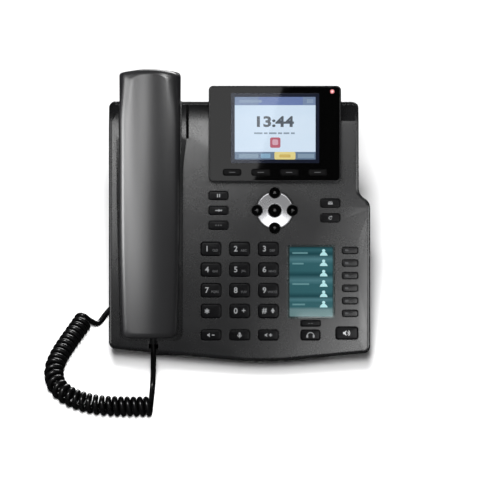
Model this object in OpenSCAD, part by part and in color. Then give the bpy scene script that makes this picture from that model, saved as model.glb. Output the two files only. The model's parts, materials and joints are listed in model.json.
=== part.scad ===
// Desk IP phone on its stand: body, colour screen, line-key screen, keys, handset, coiled cord.
// Lengths are millimetres. Most pieces are drawn in the face frame (x across, y up the face,
// z out of the face, origin at the front edge of the face) and laid on the tilted body by on_face().
// The row frame has +Z up and its origin on the desk, under the middle of the front foot.

/* [Body] */
// Width of the body across its wide lower part
body_w = 186.8; // [184:0.4:190]
// Height of the body up its face
body_h = 186; // [184:1:189]
// Depth of the body from face to back
body_t = 30; // [30:1:33]
// How far the upper right side is set in from the lower right side
shoulder_in = 8.2; // [6:0.2:9]
// Angle between the face and the desk
tilt = 40; // [38:1:44]
// Wall thickness of the mouldings
wall = 2.4; // [2.2:0.1:2.6]

/* [Screen] */
// Width of the raised screen module
screen_w = 94.4; // [92:0.4:96]
// Height of the raised screen module
screen_h = 68.6; // [67:0.2:70]
// Height of the module's glass above the face
screen_z = 9; // [9:0.5:11]
// Width of the main display's picture
lcd_w = 57.6; // [54:0.1:58]
// Height of the main display's picture
lcd_h = 44.6; // [42:0.1:45]
// Width of the line-key display's picture
side_lcd_w = 30.8; // [28:0.2:31]
// Height of the line-key display's picture
side_lcd_h = 49.6; // [46:0.2:50]

/* [Keys] */
// Column pitch of the dial keys
key_pitch_x = 20.5; // [19:0.1:20.5]
// Row pitch of the dial keys
key_pitch_y = 14.8; // [14:0.1:14.8]
// How far a face key moves when it is pressed
key_travel = 1.2; // [0.8:0.1:1.3]
// How far a soft key moves when it is pressed
soft_travel = 0.8; // [0.5:0.1:0.9]
// Gap between a key and the edge of its hole
key_gap = 0.3; // [0.2:0.05:0.4]

/* [Handset] */
// Length of the handset
handset_l = 191.4; // [189:0.2:193]
// Width of the handset at its middle
handset_w = 42.8; // [41.6:0.2:43.4]
// Height of the handset's back above the face
handset_top = 30; // [28:0.5:32]
// How far the hook plunger rises when the handset is lifted
hook_travel = 4; // [3:0.5:4.5]

/* [Cord] */
// Diameter of the cord
cord_d = 3.9; // [3.2:0.1:4]
// Outside diameter of the coil
coil_d = 14.4; // [13.6:0.2:14.8]
// Number of whole turns, to which a half turn is added
coil_turns = 28; // [20:1:29]

/* [Hidden] */
$fn = 48;
eps = 0.05;
rest_gap = 0.15; // air between pieces that touch on the real object

// ---- frames ----
foot_run = 30; // from the face's front edge back to the front foot
face_lift = 25.5; // height of the face's front edge above the desk
module on_face() translate([0, -foot_run, face_lift]) rotate([tilt, 0, 0]) children();
function face_to_row(p) = [
    p.x,
    p.y * cos(tilt) - p.z * sin(tilt) - foot_run,
    p.y * sin(tilt) + p.z * cos(tilt) + face_lift
];
// The point at height h over the desk that lies square behind (u, v) on the face
function desk_point(u, v, h) = [u, (v - (h - face_lift) * sin(tilt)) / cos(tilt) - foot_run, h];

// ---- levels in the face frame ----
half_w = body_w / 2;
parting_z = -14; // where the front and rear housings meet
back_z = -body_t;
plate_under = -wall;
board_z = -9; // component side of the main board
board_t = 1.6;
mat_t = 1.2;
flange_t = 1.2;
flange_out = 0.9;
flange_top = plate_under - 0.2;
key_foot = flange_top - flange_t - 0.8;

// ---- body outline ----
front_r = 240; // radius of the front edge's nose
front_cx = 17; // where the front edge reaches lowest
front_slope = 5.2; // how steeply the front edge rises to either side of its nose
corner_r = 4.8;
shoulder_y = 109.3; // where the shoulder starts to turn in
shoulder_rise = 14.3;
shoulder_turn = 2 * atan(shoulder_in / shoulder_rise);
shoulder_r = shoulder_rise / (2 * sin(shoulder_turn));
band_y = 171.3; // crease where the face falls away to the top edge
band_drop = 6;

function arc(c, r, a0, a1, n) =
    [for (i = [0:n]) let (a = a0 + (a1 - a0) * i / n) c + r * [cos(a), sin(a)]];
// Centre of a front corner, which touches the straight run of the front edge
function front_corner(side) =
    let (
        x = side * (half_w - corner_r),
        nose_end = [front_cx + side * front_r * sin(front_slope), front_r * (1 - cos(front_slope))]
    )
    [x, nose_end.y + (corner_r + side * (x - nose_end.x) * sin(front_slope)) / cos(front_slope)];
function body_points(d) =
    let (
        left = front_corner(-1),
        right = front_corner(1),
        nose = [front_cx, front_r],
        low = [half_w - shoulder_r, shoulder_y],
        high = low + 2 * shoulder_r * [cos(shoulder_turn), sin(shoulder_turn)],
        top = body_h - corner_r
    )
    concat(
        arc(left, corner_r - d, 180, 270 - front_slope, 6),
        arc(nose, front_r - d, 270 - front_slope, 270 + front_slope, 10),
        arc(right, corner_r - d, 270 + front_slope, 360, 6),
        arc(low, shoulder_r - d, 0, shoulder_turn, 6),
        arc(high, shoulder_r + d, 180 + shoulder_turn, 180, 6),
        arc([half_w - shoulder_in - corner_r, top], corner_r - d, 0, 90, 6),
        arc([-half_w + corner_r, top], corner_r - d, 90, 180, 6)
    );

// ---- small shapes ----
module rounded(w, h, r) {
    square([w, h - 2 * r], center = true);
    square([w - 2 * r, h], center = true);
    for (x = [-1, 1], y = [-1, 1])
        translate([x * (w / 2 - r), y * (h / 2 - r)]) circle(r);
}
module pad(w, h, r, z0, z1) translate([0, 0, z0]) linear_extrude(z1 - z0) rounded(w, h, r);
module block(x0, x1, y0, y1, z0, z1) translate([x0, y0, z0]) cube([x1 - x0, y1 - y0, z1 - z0]);
module disc(r, z0, z1) translate([0, 0, z0]) cylinder(r = r, h = z1 - z0);
// A side profile of (y, z) points, swept across from x0 to x1
module across(points, x0, x1)
    translate([x0, 0, 0]) rotate([90, 0, 90]) linear_extrude(x1 - x0) polygon(points);

// ---- screen module ----
screen_c = [25.2, body_h - 23.8];
screen_lo = screen_c.y - screen_h / 2;
screen_hi = screen_c.y + screen_h / 2;
screen_r = 3.4;
lens_t = 1.6;
lens_top = screen_z - 0.1;
lens_in = 0.9; // the frame's rim round the glass
module_floor = 2.2; // floor of the screen frame's cavity
lcd_c = [25.4, screen_c.y + 4];
soft_y = screen_lo + 6.8;
led_at = [66.1, screen_hi - 4.2];
led_r = 1.5;

// ---- keys: [name, x, y, width, height, corner radius] ----
keypad_c = [0.1, 57.9];
small_r = 1.6;
side_key = [13.8, 6.0, small_r];
left_x = -15;
right_x = 64.9;
line_x = 79;
side_lcd_c = [51.2, 56.6];
nav_c = [25.2, 107.6];
nav_ring_r = 13.9;
nav_dot_at = 12.7;
nav_dot_r = 4;
nav_ok_r = 4.6;
dial = ["key_1", "key_2", "key_3", "key_4", "key_5", "key_6", "key_7", "key_8", "key_9",
    "key_star", "key_0", "key_hash"];
bottom_row = ["volume_down_key", "mute_key", "volume_up_key"];
left_column = ["hold_key", "transfer_key", "conference_key"];
right_column = ["message_key", "redial_key"];

pad_keys = concat(
    [for (i = [0:11]) [dial[i], keypad_c.x + (i % 3 - 1) * key_pitch_x,
        keypad_c.y + (1.5 - floor(i / 3)) * key_pitch_y, 14.4, 9.8, 2.2]],
    [for (i = [0:2]) [bottom_row[i], keypad_c.x + (i - 1) * key_pitch_x, 18.6, 14.4, 7.4, 2]],
    [for (i = [0:2]) concat([left_column[i], left_x, nav_c.y - (i - 1) * 10.6], side_key)],
    [for (i = [0:1]) concat([right_column[i], right_x, nav_c.y - (i - 0.5) * 10.6], side_key)],
    [for (i = [0:5]) [str("line_key_", i + 1), line_x, side_lcd_c.y + (2.5 - i) * 9, 11.2, 4.6, 1.4]],
    [["page_key", 50.7, 27, 14, 4.2, 1.2],
        ["headset_key", 50.7, 18.6, 13.8, 7.2, 1.8],
        ["speaker_key", 76.7, 20, 15.8, 8.8, 1.8]]
);
// Round keys: [name, x, y, radius]
round_keys = concat(
    [for (i = [0:3]) [["nav_up", "nav_left", "nav_down", "nav_right"][i],
        nav_c.x + nav_dot_at * cos(90 + 90 * i), nav_c.y + nav_dot_at * sin(90 + 90 * i), nav_dot_r]],
    [["nav_ok", nav_c.x, nav_c.y, nav_ok_r]]
);
soft_keys = [for (i = [0:3])
    [str("soft_key_", i + 1), screen_c.x + (i - 1.5) * 20.3, soft_y, 12.6, 4.2, 1.4]];

// ---- cradle and handset places ----
cradle_x = [-87.6, -40.4]; // the cradle's sides
cradle_low_x = [-85.4, -40.8]; // its sides at the lower end
cradle_y0 = 14.2;
cradle_neck = 138; // above here the cradle's right side leans out to the slot
cradle_z = -7;
cradle_r = 5.5;
ramp_lo = 115;
ramp_hi = 159;
slot_x0 = -38.1; // shadow slot between the handset and the face
slot_x1 = -36.3;
well_z = -9;
well_gap = 0.8;
handset_x = -63.8;
handset_y0 = 16.6;
handset_y1 = handset_y0 + handset_l;
handset_foot = well_z + 0.4;
handset_part_z = 11; // where the handset's two shells meet
grip_z = 8.5; // the grip's inner side
shell_t = 2;
mouth_y1 = 66;
ear_y0 = 152;
hook_at = [handset_x, 166];
speaker_at = [handset_x, 98];
speaker_r = 19;
cord_x = handset_x + 2.2; // where the cord enters the handset
plug_z = -3;
notch_w = 7;

// ---- sockets along the port bay: [x, width, height, opening width, opening height] ----
bay_x0 = -35;
bay_x1 = 51;
bay_y0 = 70;
bay_y1 = 102;
bay_t = 2;
bay_top = board_z - board_t - 0.2;
socket_d = 15.6;
small_socket = [11.2, 9.6, 7.9, 6.6];
network_socket = [16, 13.2, 12, 8.2];
sockets = [
    concat([-24], small_socket), concat([-9], small_socket),
    concat([9], network_socket), concat([28], network_socket)
];
power_x = 43.5;
plug = [7.5, 12.5, 6.2]; // a handset cord's plug: width, length, depth

// ---- screws: [x, y] ----
screws = [[-80, 76], [-80, 136], [-26, 150], [76, 150], [82, 95], [64, 9.6], [-28, 9.6]];
screw_seat = -24;
screw_tip = -10.2;
screw_r = 1.4;
screw_head_r = 3;
boss_end = -16;

// ================= body =================

module body_slab(d, z0, z1) translate([0, 0, z0]) linear_extrude(z1 - z0) polygon(body_points(d));

// Everything above the face's falling top band
module above_band(dz)
    across([[band_y, dz], [body_h + 5, dz - band_drop * (body_h + 5 - band_y) / (body_h - band_y)],
        [body_h + 5, 5], [band_y, 5]], -half_w - 5, half_w + 5);

// Plan of the cradle, a little wider than the handset that lies in it; d sets it out
function cradle_plan(d) =
    let (r = cradle_r + d, low_y = cradle_y0 + cradle_r, top_y = ramp_hi + d + 1)
    concat(
        arc([cradle_low_x[0] + cradle_r, low_y], r, 180, 270, 6),
        arc([cradle_low_x[1] - cradle_r, low_y], r, 270, 360, 6),
        [[cradle_x[1] + d, cradle_neck], [slot_x0 + d, ramp_hi - 2], [slot_x0 + d, top_y],
            [cradle_x[0] - d, top_y], [cradle_x[0] - d, ramp_lo]]
    );

// The cradle's floor runs level with the face at the top, then ramps down; d thickens it into a tub
module cradle_recess(d)
    intersection() {
        across([[cradle_y0 - d, cradle_z - d], [ramp_lo + d / 2, cradle_z - d], [ramp_hi + d / 2, -d],
            [ramp_hi + d / 2, 1 - d], [cradle_y0 - d, 1 - d]], -half_w, 0);
        translate([0, 0, -20]) linear_extrude(25) polygon(cradle_plan(d));
    }

// The pockets that take the handset's mouth and ear ends, following its outline
module cradle_wells(d)
    for (span = [[0, mouth_y1], [ear_y0 - 3, body_h + 20]])
        intersection() {
            translate([handset_x, 0, well_z - d]) linear_extrude(1 - well_z)
                polygon(handset_plan(-well_gap - d));
            block(-half_w, 0, span[0] - d, span[1] + d, well_z - d - 1, 1);
        }

module front_bosses()
    for (s = screws) translate(s) disc(3.6, boss_end, plate_under);

module key_holes() {
    for (k = pad_keys) translate([k[1], k[2], 0])
        pad(k[3] + 2 * key_gap, k[4] + 2 * key_gap, k[5] + key_gap, plate_under - 1, 1);
    for (k = round_keys) translate([k[1], k[2], 0]) disc(k[3] + key_gap, plate_under - 1, 1);
}

module side_display_openings() translate(side_lcd_c) {
    pad(side_lcd_w + 3, side_lcd_h + 3, 1.2, -1.4, 1);
    pad(side_lcd_w, side_lcd_h, 0.8, plate_under - 1, 1);
}

module speaker_slots()
    for (i = [-3:3]) translate([speaker_at.x, speaker_at.y + i * 4, 0])
        pad(26 - 1.6 * abs(i), 1.6, 0.75, -15, 1);

module front_housing() color([0.2, 0.2, 0.21]) on_face() {
    difference() {
        union() {
            difference() {
                body_slab(0, parting_z, 0);
                body_slab(wall, parting_z - 1, plate_under);
            }
            intersection() {
                union() {
                    cradle_recess(wall);
                    cradle_wells(wall);
                    block(slot_x0 - 2.1, slot_x1 + 2.5, ramp_hi - 2, body_h - 1, -7, plate_under + eps);
                    // keeps the falling band as thick as the face
                    block(-half_w + 1, half_w - shoulder_in - 1, band_y - 4, body_h - 1,
                        -band_drop - wall, plate_under + eps);
                }
                body_slab(0, parting_z, 0);
            }
            front_bosses();
        }
        above_band(0);
        cradle_recess(0);
        cradle_wells(0);
        key_holes();
        translate(nav_c) disc(nav_ring_r + 0.2, -1.3, 1);
        side_display_openings();
        speaker_slots();
        block(slot_x0, slot_x1, ramp_hi, body_h + 5, -5, 1);
        // way out for the handset's cord
        translate([cord_x, 5, 0]) pad(notch_w, 24, 2, cradle_z, 1);
        translate(hook_at) pad(9.8, 5.8, 2, -15, 1);
        for (s = screws) translate(s) disc(screw_r + 0.05, boss_end - 1, screw_tip + 0.4);
    }
}

module rear_posts() for (s = screws) translate(s) disc(5, back_z + 1, boss_end - 0.2);

module port_bay(d) block(bay_x0 + d, bay_x1 - d, bay_y0 + d, bay_y1 - d, back_z - d, bay_top - d);

// T-slot on the back that takes one tongue of the stand
rail_x = 62;
rail_y0 = 100;
rail_y1 = 134;
module stand_slot() translate([0, 0, back_z]) {
    for (s = [-1, 1]) {
        block(min(s * 6.6, s * 9), max(s * 6.6, s * 9), rail_y0, rail_y1, -4.6, eps);
        block(min(s * 3.6, s * 9), max(s * 3.6, s * 9), rail_y0, rail_y1, -4.6, -2.8);
    }
    block(-9, 9, rail_y1 - 2, rail_y1, -4.6, eps);
}

module foot_block(x0, x1) block(x0, x1, -6, 6, 2, 24);

module rear_housing() color([0.12, 0.12, 0.13]) difference() {
    union() {
        difference() {
            union() {
                on_face() body_slab(0, back_z, parting_z - eps);
                foot_block(-64, 64);
            }
            on_face() difference() {
                body_slab(wall, back_z + wall, 5);
                rear_posts();
            }
        }
        on_face() port_bay(0);
        on_face() for (s = [-1, 1]) translate([s * rail_x, 0, 0]) stand_slot();
    }
    on_face() {
        port_bay(bay_t);
        for (s = sockets) translate([s[0], bay_y1 - 1, socket_z(s)])
            cube([s[3] + 0.8, 6, s[4] + 0.8], center = true);
        translate([power_x, bay_y1 - 1, power_z]) rotate([90, 0, 0]) cylinder(r = 3.7, h = 6, center = true);
        for (s = screws) translate(s) {
            disc(screw_r + 0.3, back_z - 1, -10);
            disc(screw_head_r + 0.4, back_z - 1, screw_seat);
        }
    }
}

module front_foot() color([0.07, 0.07, 0.07]) pad(116, 8, 3.9, 0, 1.95);

module housing_screws() color([0.6, 0.6, 0.62]) on_face()
    for (s = screws) translate(s) difference() {
        union() {
            disc(screw_r, screw_seat - eps, screw_tip);
            disc(screw_head_r, screw_seat - 2.4, screw_seat - eps);
        }
        for (a = [0, 90]) rotate(a) block(-1.7, 1.7, -0.35, 0.35, screw_seat - 3, screw_seat - 1.2);
    }

// ================= displays and electronics =================

module soft_key_holes() for (k = soft_keys) translate([k[1], k[2], 0])
    pad(k[3] + 2 * key_gap, k[4] + 2 * key_gap, k[5] + key_gap, -1, screen_z + 2);

// Raised frame; its top end hangs over the body's edge and reaches down behind it
module screen_bezel() color([0.06, 0.06, 0.065]) on_face() difference() {
    intersection() {
        across([[screen_lo, 0.1], [band_y + 0.3, 0.1], [body_h + 0.3, -band_drop + 0.1], [body_h + 0.3, -12],
            [screen_hi - 2.5, -12], [screen_hi, -8], [screen_hi, screen_z], [screen_lo, screen_z]],
            screen_c.x - screen_w / 2, screen_c.x + screen_w / 2);
        translate(screen_c) pad(screen_w, screen_h, screen_r, -20, 20);
    }
    translate(screen_c)
        pad(screen_w - 2 * lens_in, screen_h - 2 * lens_in, screen_r - lens_in, lens_top - lens_t, 20);
    translate(screen_c) pad(screen_w - 5, screen_h - 5, 1.5, module_floor, 20);
}

module screen_lens() color([0.02, 0.02, 0.025]) on_face() difference() {
    translate(screen_c)
        pad(screen_w - 2 * lens_in - 0.3, screen_h - 2 * lens_in - 0.3, screen_r - lens_in - 0.1,
            lens_top - lens_t + 0.05, lens_top);
    soft_key_holes();
    translate(led_at) disc(led_r + 0.15, -1, screen_z + 2);
}

module main_lcd() color([0.75, 0.88, 0.95]) on_face() translate([lcd_c.x, lcd_c.y, 0])
    pad(lcd_w + 8, lcd_h + 5, 0.8, 3.6, lens_top - lens_t - rest_gap);

module side_window() color([0.25, 0.45, 0.5]) on_face() translate(side_lcd_c)
    pad(side_lcd_w + 2.7, side_lcd_h + 2.7, 1.05, -1.35, -0.25);

module side_lcd() color([0.3, 0.5, 0.55]) on_face() translate(side_lcd_c)
    pad(side_lcd_w + 2.6, side_lcd_h + 2, 0.6, board_z + rest_gap, plate_under - rest_gap);

module nav_ring() color([0.75, 0.75, 0.77]) on_face() difference() {
    translate(nav_c) disc(nav_ring_r, -1.25, 0.9);
    for (k = round_keys) translate([k[1], k[2], 0]) disc(k[3] + key_gap, -3, 3);
}

module status_led() color([0.9, 0.5, 0.5]) on_face()
    translate(led_at) disc(led_r, module_floor + 0.2, screen_z + 0.2);

module board_area(z0, z1) {
    block(-33, 72, 13.8, 120, z0, z1);
    block(71, 88, 13.8, 86, z0, z1);
}

// Silicone sheet with a dome under each key, drawn pressed down so that each key has room to travel
module keypad_mat() color([0.35, 0.35, 0.37]) on_face() {
    base = board_z + 0.02;
    dome_top = key_foot - key_travel - rest_gap;
    union() {
        difference() {
            board_area(base, base + mat_t);
            translate(side_lcd_c) pad(side_lcd_w + 3.6, side_lcd_h + 3, 1, base - 1, base + mat_t + 1);
        }
        for (k = pad_keys) translate([k[1], k[2], 0])
            disc(min(3.2, k[4] / 2 - 0.3), base + mat_t / 2, dome_top);
        for (k = round_keys) translate([k[1], k[2], 0]) disc(2.6, base + mat_t / 2, dome_top);
    }
    translate([screen_c.x, soft_y, 0]) pad(80, 6, 1, module_floor + eps, 3.4);
    for (k = soft_keys) translate([k[1], k[2], 0]) disc(1.7, 3, soft_foot - soft_travel - rest_gap);
}

function socket_z(s) = board_z - board_t - s[2] / 2;
power_z = board_z - board_t - 5.5;

module main_board() color([0.1, 0.35, 0.2]) on_face() difference() {
    union() {
        board_area(board_z - board_t, board_z);
        for (s = sockets) translate([s[0], bay_y1 + 0.1 + socket_d / 2, socket_z(s)])
            cube([s[1], socket_d, s[2]], center = true);
        block(power_x - 4.5, power_x + 4.5, bay_y1 + 0.1, bay_y1 + 14, power_z - 5.5, power_z + 5.6);
    }
    for (s = sockets) translate([s[0], bay_y1 + 6, socket_z(s)]) cube([s[3], 14.4, s[4]], center = true);
    translate([power_x, bay_y1 + 10.1, power_z]) rotate([90, 0, 0]) difference() {
        cylinder(r = 3.2, h = 11);
        cylinder(r = 0.95, h = 9);
    }
}

module loudspeaker() color([0.2, 0.2, 0.2]) on_face() translate(speaker_at) {
    disc(speaker_r, cradle_z - wall - 3.2, cradle_z - wall - rest_gap);
    disc(speaker_r - 6, cradle_z - wall - 9, cradle_z - wall - 3);
}

// ================= keys =================

// A cap with a retaining flange under the plate; z0 is the plate's top and under its underside
module bar_key(k, top, flange, foot) on_face() translate([k[1], k[2], 0]) {
    pad(k[3], k[4], k[5], foot, top);
    pad(k[3] + 2 * flange_out, k[4] + 2 * flange_out, k[5] + 0.5, flange - flange_t, flange);
}

module round_key(k, top) on_face() translate([k[1], k[2], 0]) {
    intersection() {
        disc(k[3], key_foot, top);
        translate([0, 0, top - 9]) sphere(9);
    }
    disc(k[3] + flange_out, flange_top - flange_t, flange_top);
}
soft_flange = lens_top - lens_t - rest_gap;
soft_foot = soft_flange - flange_t - 0.3;

// ================= handset =================

// Half width of the handset at y: it narrows towards the mouth end and widens a little towards the ear end
function handset_half(y) =
    let (mid = handset_y0 + 100, t = (y - mid) / 100) handset_w / 2 - (t < 0 ? 2.5 : -0.5) * t * t;
side_start = 8; // the long sides start and stop clear of the corner arcs
side_stop = 9;
function handset_side(side, d, n) = [for (i = [0:n])
    let (y = handset_y0 + side_start + (handset_l - side_start - side_stop) * i / n)
    [side * (handset_half(y) - d), y]];
handset_corner = 5;
function handset_plan(d) =
    let (
        r = handset_corner - d / 2,
        low = handset_half(handset_y0 + r) - d,
        high = handset_half(handset_y1 - r) - d,
        sides = 9
    )
    concat(
        arc([-low + r, handset_y0 + d + r], r, 180, 270, 5),
        arc([low - r, handset_y0 + d + r], r, 270, 360, 5),
        handset_side(1, d, sides),
        arc([high - 2.5, handset_y1 - 2.2 - d - 2.5], 2.5, 0, 75, 4),
        arc([0, handset_y1 - d - 92], 92, 79, 101, 6),
        arc([-high + 2.5, handset_y1 - 2.2 - d - 2.5], 2.5, 105, 180, 4),
        [for (i = [0:sides]) handset_side(-1, d, sides)[sides - i]]
    );

// Side profile of the handset, with its ends standing below the grip
function handset_profile(d) =
    let (y0 = handset_y0 + d, y1 = handset_y1 - d, foot = handset_foot + d, grip = grip_z + d)
    [[y0, foot + 3], [y0 + 3, foot], [mouth_y1 - 8 - d / 2, foot], [mouth_y1 + 6 - d / 2, grip],
        [ear_y0 - 6 + d / 2, grip], [ear_y0 + 5 + d / 2, foot], [y1 - 5, foot], [y1 - 1.5, foot + 3.5],
        [y1, grip + 6], [y1, 40], [y0, 40]];

back_r = 1150; // long bow of the handset's back
crown_r = 46; // crown across the handset's back
module handset_form(d)
    intersection() {
        translate([handset_x, 0, -15]) linear_extrude(60) polygon(handset_plan(d));
        across(handset_profile(d), handset_x - 30, handset_x + 30);
        translate([handset_x, (handset_y0 + handset_y1) / 2, handset_top - d - back_r])
            rotate([0, -90, 0]) rotate([0, 0, -6]) rotate_extrude(angle = 12, $fn = 180)
                translate([back_r - crown_r, 0]) circle(crown_r, $fn = 90);
    }

module handset_hollow() handset_form(shell_t);

module handset_back_shell() color([0.22, 0.22, 0.23]) on_face() difference() {
    handset_form(0);
    handset_hollow();
    block(handset_x - 40, handset_x + 40, 0, 230, -30, handset_part_z + 0.05);
}

module grille(at, ring) translate(at) {
    disc(0.9, -12, 0);
    for (a = [0:60:300]) rotate(a) translate([ring, 0, 0]) disc(0.9, -12, 0);
}

module handset_front_shell() color([0.1, 0.1, 0.1]) on_face() difference() {
    handset_form(0);
    handset_hollow();
    block(handset_x - 40, handset_x + 40, 0, 230, handset_part_z - 0.05, 60);
    grille([handset_x, ear_at], 6);
    grille([handset_x, mic_at], 3);
    translate([cord_x, handset_y0, plug_z]) cube([plug.x + 1.1, 12, plug.z + 1], center = true);
}
ear_at = 182;
mic_at = 48;

module earpiece_capsule() color([0.3, 0.3, 0.3]) on_face() translate([handset_x, ear_at, 0]) {
    disc(13.5, handset_foot + shell_t + 0.2, handset_foot + shell_t + 3);
    disc(9, handset_foot + shell_t + 2, handset_foot + shell_t + 8);
}

// Small board in the mouth end with the cord's socket and the microphone
module handset_board() color([0.1, 0.35, 0.2]) on_face() difference() {
    union() {
        block(handset_x - 9, handset_x + 9, handset_y0 + shell_t + 0.3, mic_at + 6, 2.2, 3.6);
        block(cord_x - 5.9, cord_x + 5.9, handset_y0 + 5, handset_y0 + 18, -6.2, 2.3);
        translate([handset_x, mic_at, 0]) disc(4.6, handset_foot + shell_t + 0.2, 2.3);
    }
    translate([cord_x, handset_y0 + 8, plug_z]) cube([plug.x + 0.4, 14, plug.z + 0.4], center = true);
}

module hook_plunger() color([0.05, 0.05, 0.05]) on_face() translate(hook_at) {
    pad(9, 5, 2, -19, handset_foot - rest_gap);
    pad(12, 8, 1.5, -19, well_z - wall - hook_travel - 0.6);
}

// ================= stand =================

stand_y0 = rail_y0 + 2;
stand_y1 = rail_y1 - 2.2;
stand_z = back_z - 4.8; // upper side of the stand's two plates
stand_t = 3;
leg_foot = 116; // how far behind the origin the legs reach
leg_w = 16; // front to back, where a leg stands
sole_z = 2.1;
stand_foot = [18, 8];

// Side profile of a leg, from the plate under the rail down to the sole
module leg(x)
    let (a = face_to_row([0, stand_y0 - 2, stand_z - 1]), b = face_to_row([0, rail_y1, stand_z - 1]))
    across([[a.y, a.z], [b.y, b.z], [leg_foot, sole_z], [leg_foot - leg_w, sole_z]], x - 2, x + 2);

// Panel that joins the legs down their backs
module leg_panel()
    let (b = face_to_row([0, rail_y1, stand_z - 1]), half = rail_x + 2)
    across([[b.y, b.z], [leg_foot, sole_z], [leg_foot - stand_t, sole_z], [b.y - stand_t, b.z - 1]],
        -half, half);

module stand() color([0.1, 0.1, 0.11]) {
    on_face() for (s = [-1, 1]) translate([s * rail_x, 0, 0]) {
        block(-6.3, 6.3, stand_y0, stand_y1, back_z - 2.5, back_z - rest_gap);
        block(-3.3, 3.3, stand_y0, stand_y1, stand_z - 1, back_z - 1);
        block(-9, 9, stand_y0 - 2, rail_y1, stand_z - stand_t, stand_z);
    }
    for (s = [-1, 1]) leg(s * rail_x);
    leg_panel();
    block(-rail_x - 8, rail_x + 8, leg_foot - leg_w, leg_foot, sole_z, sole_z + stand_t);
}

module stand_feet() color([0.07, 0.07, 0.07])
    for (s = [-1, 1]) translate([s * (rail_x - 4), leg_foot - leg_w / 2, 0])
        pad(stand_foot.x, stand_foot.y, stand_foot.y / 2 - 0.1, 0, sole_z - eps);

// ================= cord =================

cord_r = cord_d / 2;
coil_r = coil_d / 2 - cord_r;
desk_air = 0.3;
coil_h = coil_d / 2 + desk_air;

// A smooth curve through points p: n steps between each pair
function spline(p, n) = [for (i = [0:len(p) - 2], j = [0:n - 1])
    let (
        a = p[max(i - 1, 0)], b = p[i], c = p[i + 1], d = p[min(i + 2, len(p) - 1)], t = j / n
    )
    b + t * (c - a) / 2 + t * t * (2 * a - 5 * b + 4 * c - d) / 2 + t * t * t * (3 * b - a - 3 * c + d) / 2];
function unit(v) = v / norm(v);

// The coil's axis on the desk, from its end beside the body round to its end before the body
axis_points = [for (p = [[-113, 28.4], [-119.3, 19.2], [-125.8, 9.8], [-131, 0.6], [-133.3, -8],
    [-130.9, -17.3], [-123.2, -24.2], [-111.5, -28.9], [-97.5, -31.5], [-80.5, -32.2], [-63.9, -32.2]])
    desk_point(p.x, p.y, coil_h)];
axis_curve = concat(spline(axis_points, 12), [axis_points[len(axis_points) - 1]]);
axis_n = len(axis_curve);
// The coil's inner side: turns are spaced evenly along it, so that they don't crowd in the bend
inner_curve = [for (i = [0:axis_n - 1])
    let (along = unit(axis_curve[min(i + 1, axis_n - 1)] - axis_curve[max(i - 1, 0)]))
    axis_curve[i] + coil_r * cross([0, 0, 1], along)];
axis_run = [for (i = 0, s = 0; i < axis_n;
    s = s + (i + 1 < axis_n ? norm(inner_curve[i + 1] - inner_curve[i]) : 0), i = i + 1) s];
axis_len = axis_run[axis_n - 1];
// The point a share t of the way along the axis
function on_axis(t) =
    let (
        s = min(max(t, 0), 1) * axis_len,
        i = max([for (k = [0:axis_n - 2]) if (axis_run[k] <= s) k]),
        f = (s - axis_run[i]) / (axis_run[i + 1] - axis_run[i])
    )
    axis_curve[i] * (1 - f) + axis_curve[i + 1] * f;
function coil_point(t) =
    let (
        along = unit(on_axis(t + 0.01) - on_axis(t - 0.01)),
        side = cross([0, 0, 1], along),
        turn = 90 + 360 * (coil_turns + 0.5) * t
    )
    on_axis(t) + coil_r * (cos(turn) * side + sin(turn) * [0, 0, 1]);

steps_a_turn = 10;
coil_n = steps_a_turn * coil_turns + steps_a_turn / 2;
coil_line = [for (i = [0:coil_n]) coil_point(i / coil_n)];
socket_mouth = [sockets[0][0], bay_y1 - 3, socket_z(sockets[0])];
// From the body's socket, down under the body and out beside it to the coil
base_lead = [
    face_to_row(socket_mouth), face_to_row(socket_mouth + [0, -9, -1.5]),
    face_to_row([-26.5, 80, -27]), face_to_row([-36, 69, -41]),
    desk_point(-66, 50, 9), desk_point(-86, 43.5, 3), desk_point(-96.5, 33.5, 2.5),
    desk_point(-102.5, 26.2, 2.4), desk_point(-107.6, 27.6, 7)
];
// From the coil, over the front edge and through the notch to the handset
handset_lead = [
    desk_point(-62.4, -18, 3.6), face_to_row([cord_x - 0.2, -6, -10.5]),
    face_to_row([cord_x, 3, -4.6]), face_to_row([cord_x, 10, plug_z]),
    face_to_row([cord_x, handset_y0 + 1, plug_z])
];
cord_line = concat(
    [for (p = spline(concat(base_lead, [coil_line[0]]), 4)) p],
    coil_line,
    [for (i = [1:4 * len(handset_lead) - 1]) spline(concat([coil_line[coil_n]], handset_lead), 4)[i]],
    [handset_lead[len(handset_lead) - 1]]
);

// Frames that turn no more than the line does, so that the tube never twists
function cross_frame(line) =
    let (n = len(line), t0 = unit(line[1] - line[0]))
    [for (i = 0, u = unit(cross(t0, [1, 0.2, 0.1])); i < n;
        i = i + 1,
        u = i < n ? let (t = unit(line[min(i + 1, n - 1)] - line[max(i - 1, 0)])) unit(u - (u * t) * t) : u)
        let (t = unit(line[min(i + 1, n - 1)] - line[max(i - 1, 0)]), v = unit(u - (u * t) * t))
        [v, cross(t, v)]];
sides = 6;
module tube(line, r) {
    frames = cross_frame(line);
    n = len(line);
    polyhedron(
        points = [for (i = [0:n - 1], k = [0:sides - 1])
            line[i] + r * (cos(360 * k / sides) * frames[i][0] + sin(360 * k / sides) * frames[i][1])],
        faces = concat(
            [[for (k = [0:sides - 1]) k]],
            [for (i = [0:n - 2], k = [0:sides - 1]) let (m = (k + 1) % sides)
                each [[i * sides + k, (i + 1) * sides + m, i * sides + m],
                    [i * sides + k, (i + 1) * sides + k, (i + 1) * sides + m]]],
            [[for (k = [0:sides - 1]) n * sides - 1 - k]]
        )
    );
}

module cord_plug() translate([0, plug.y / 2, 0]) cube(plug, center = true);

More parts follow.
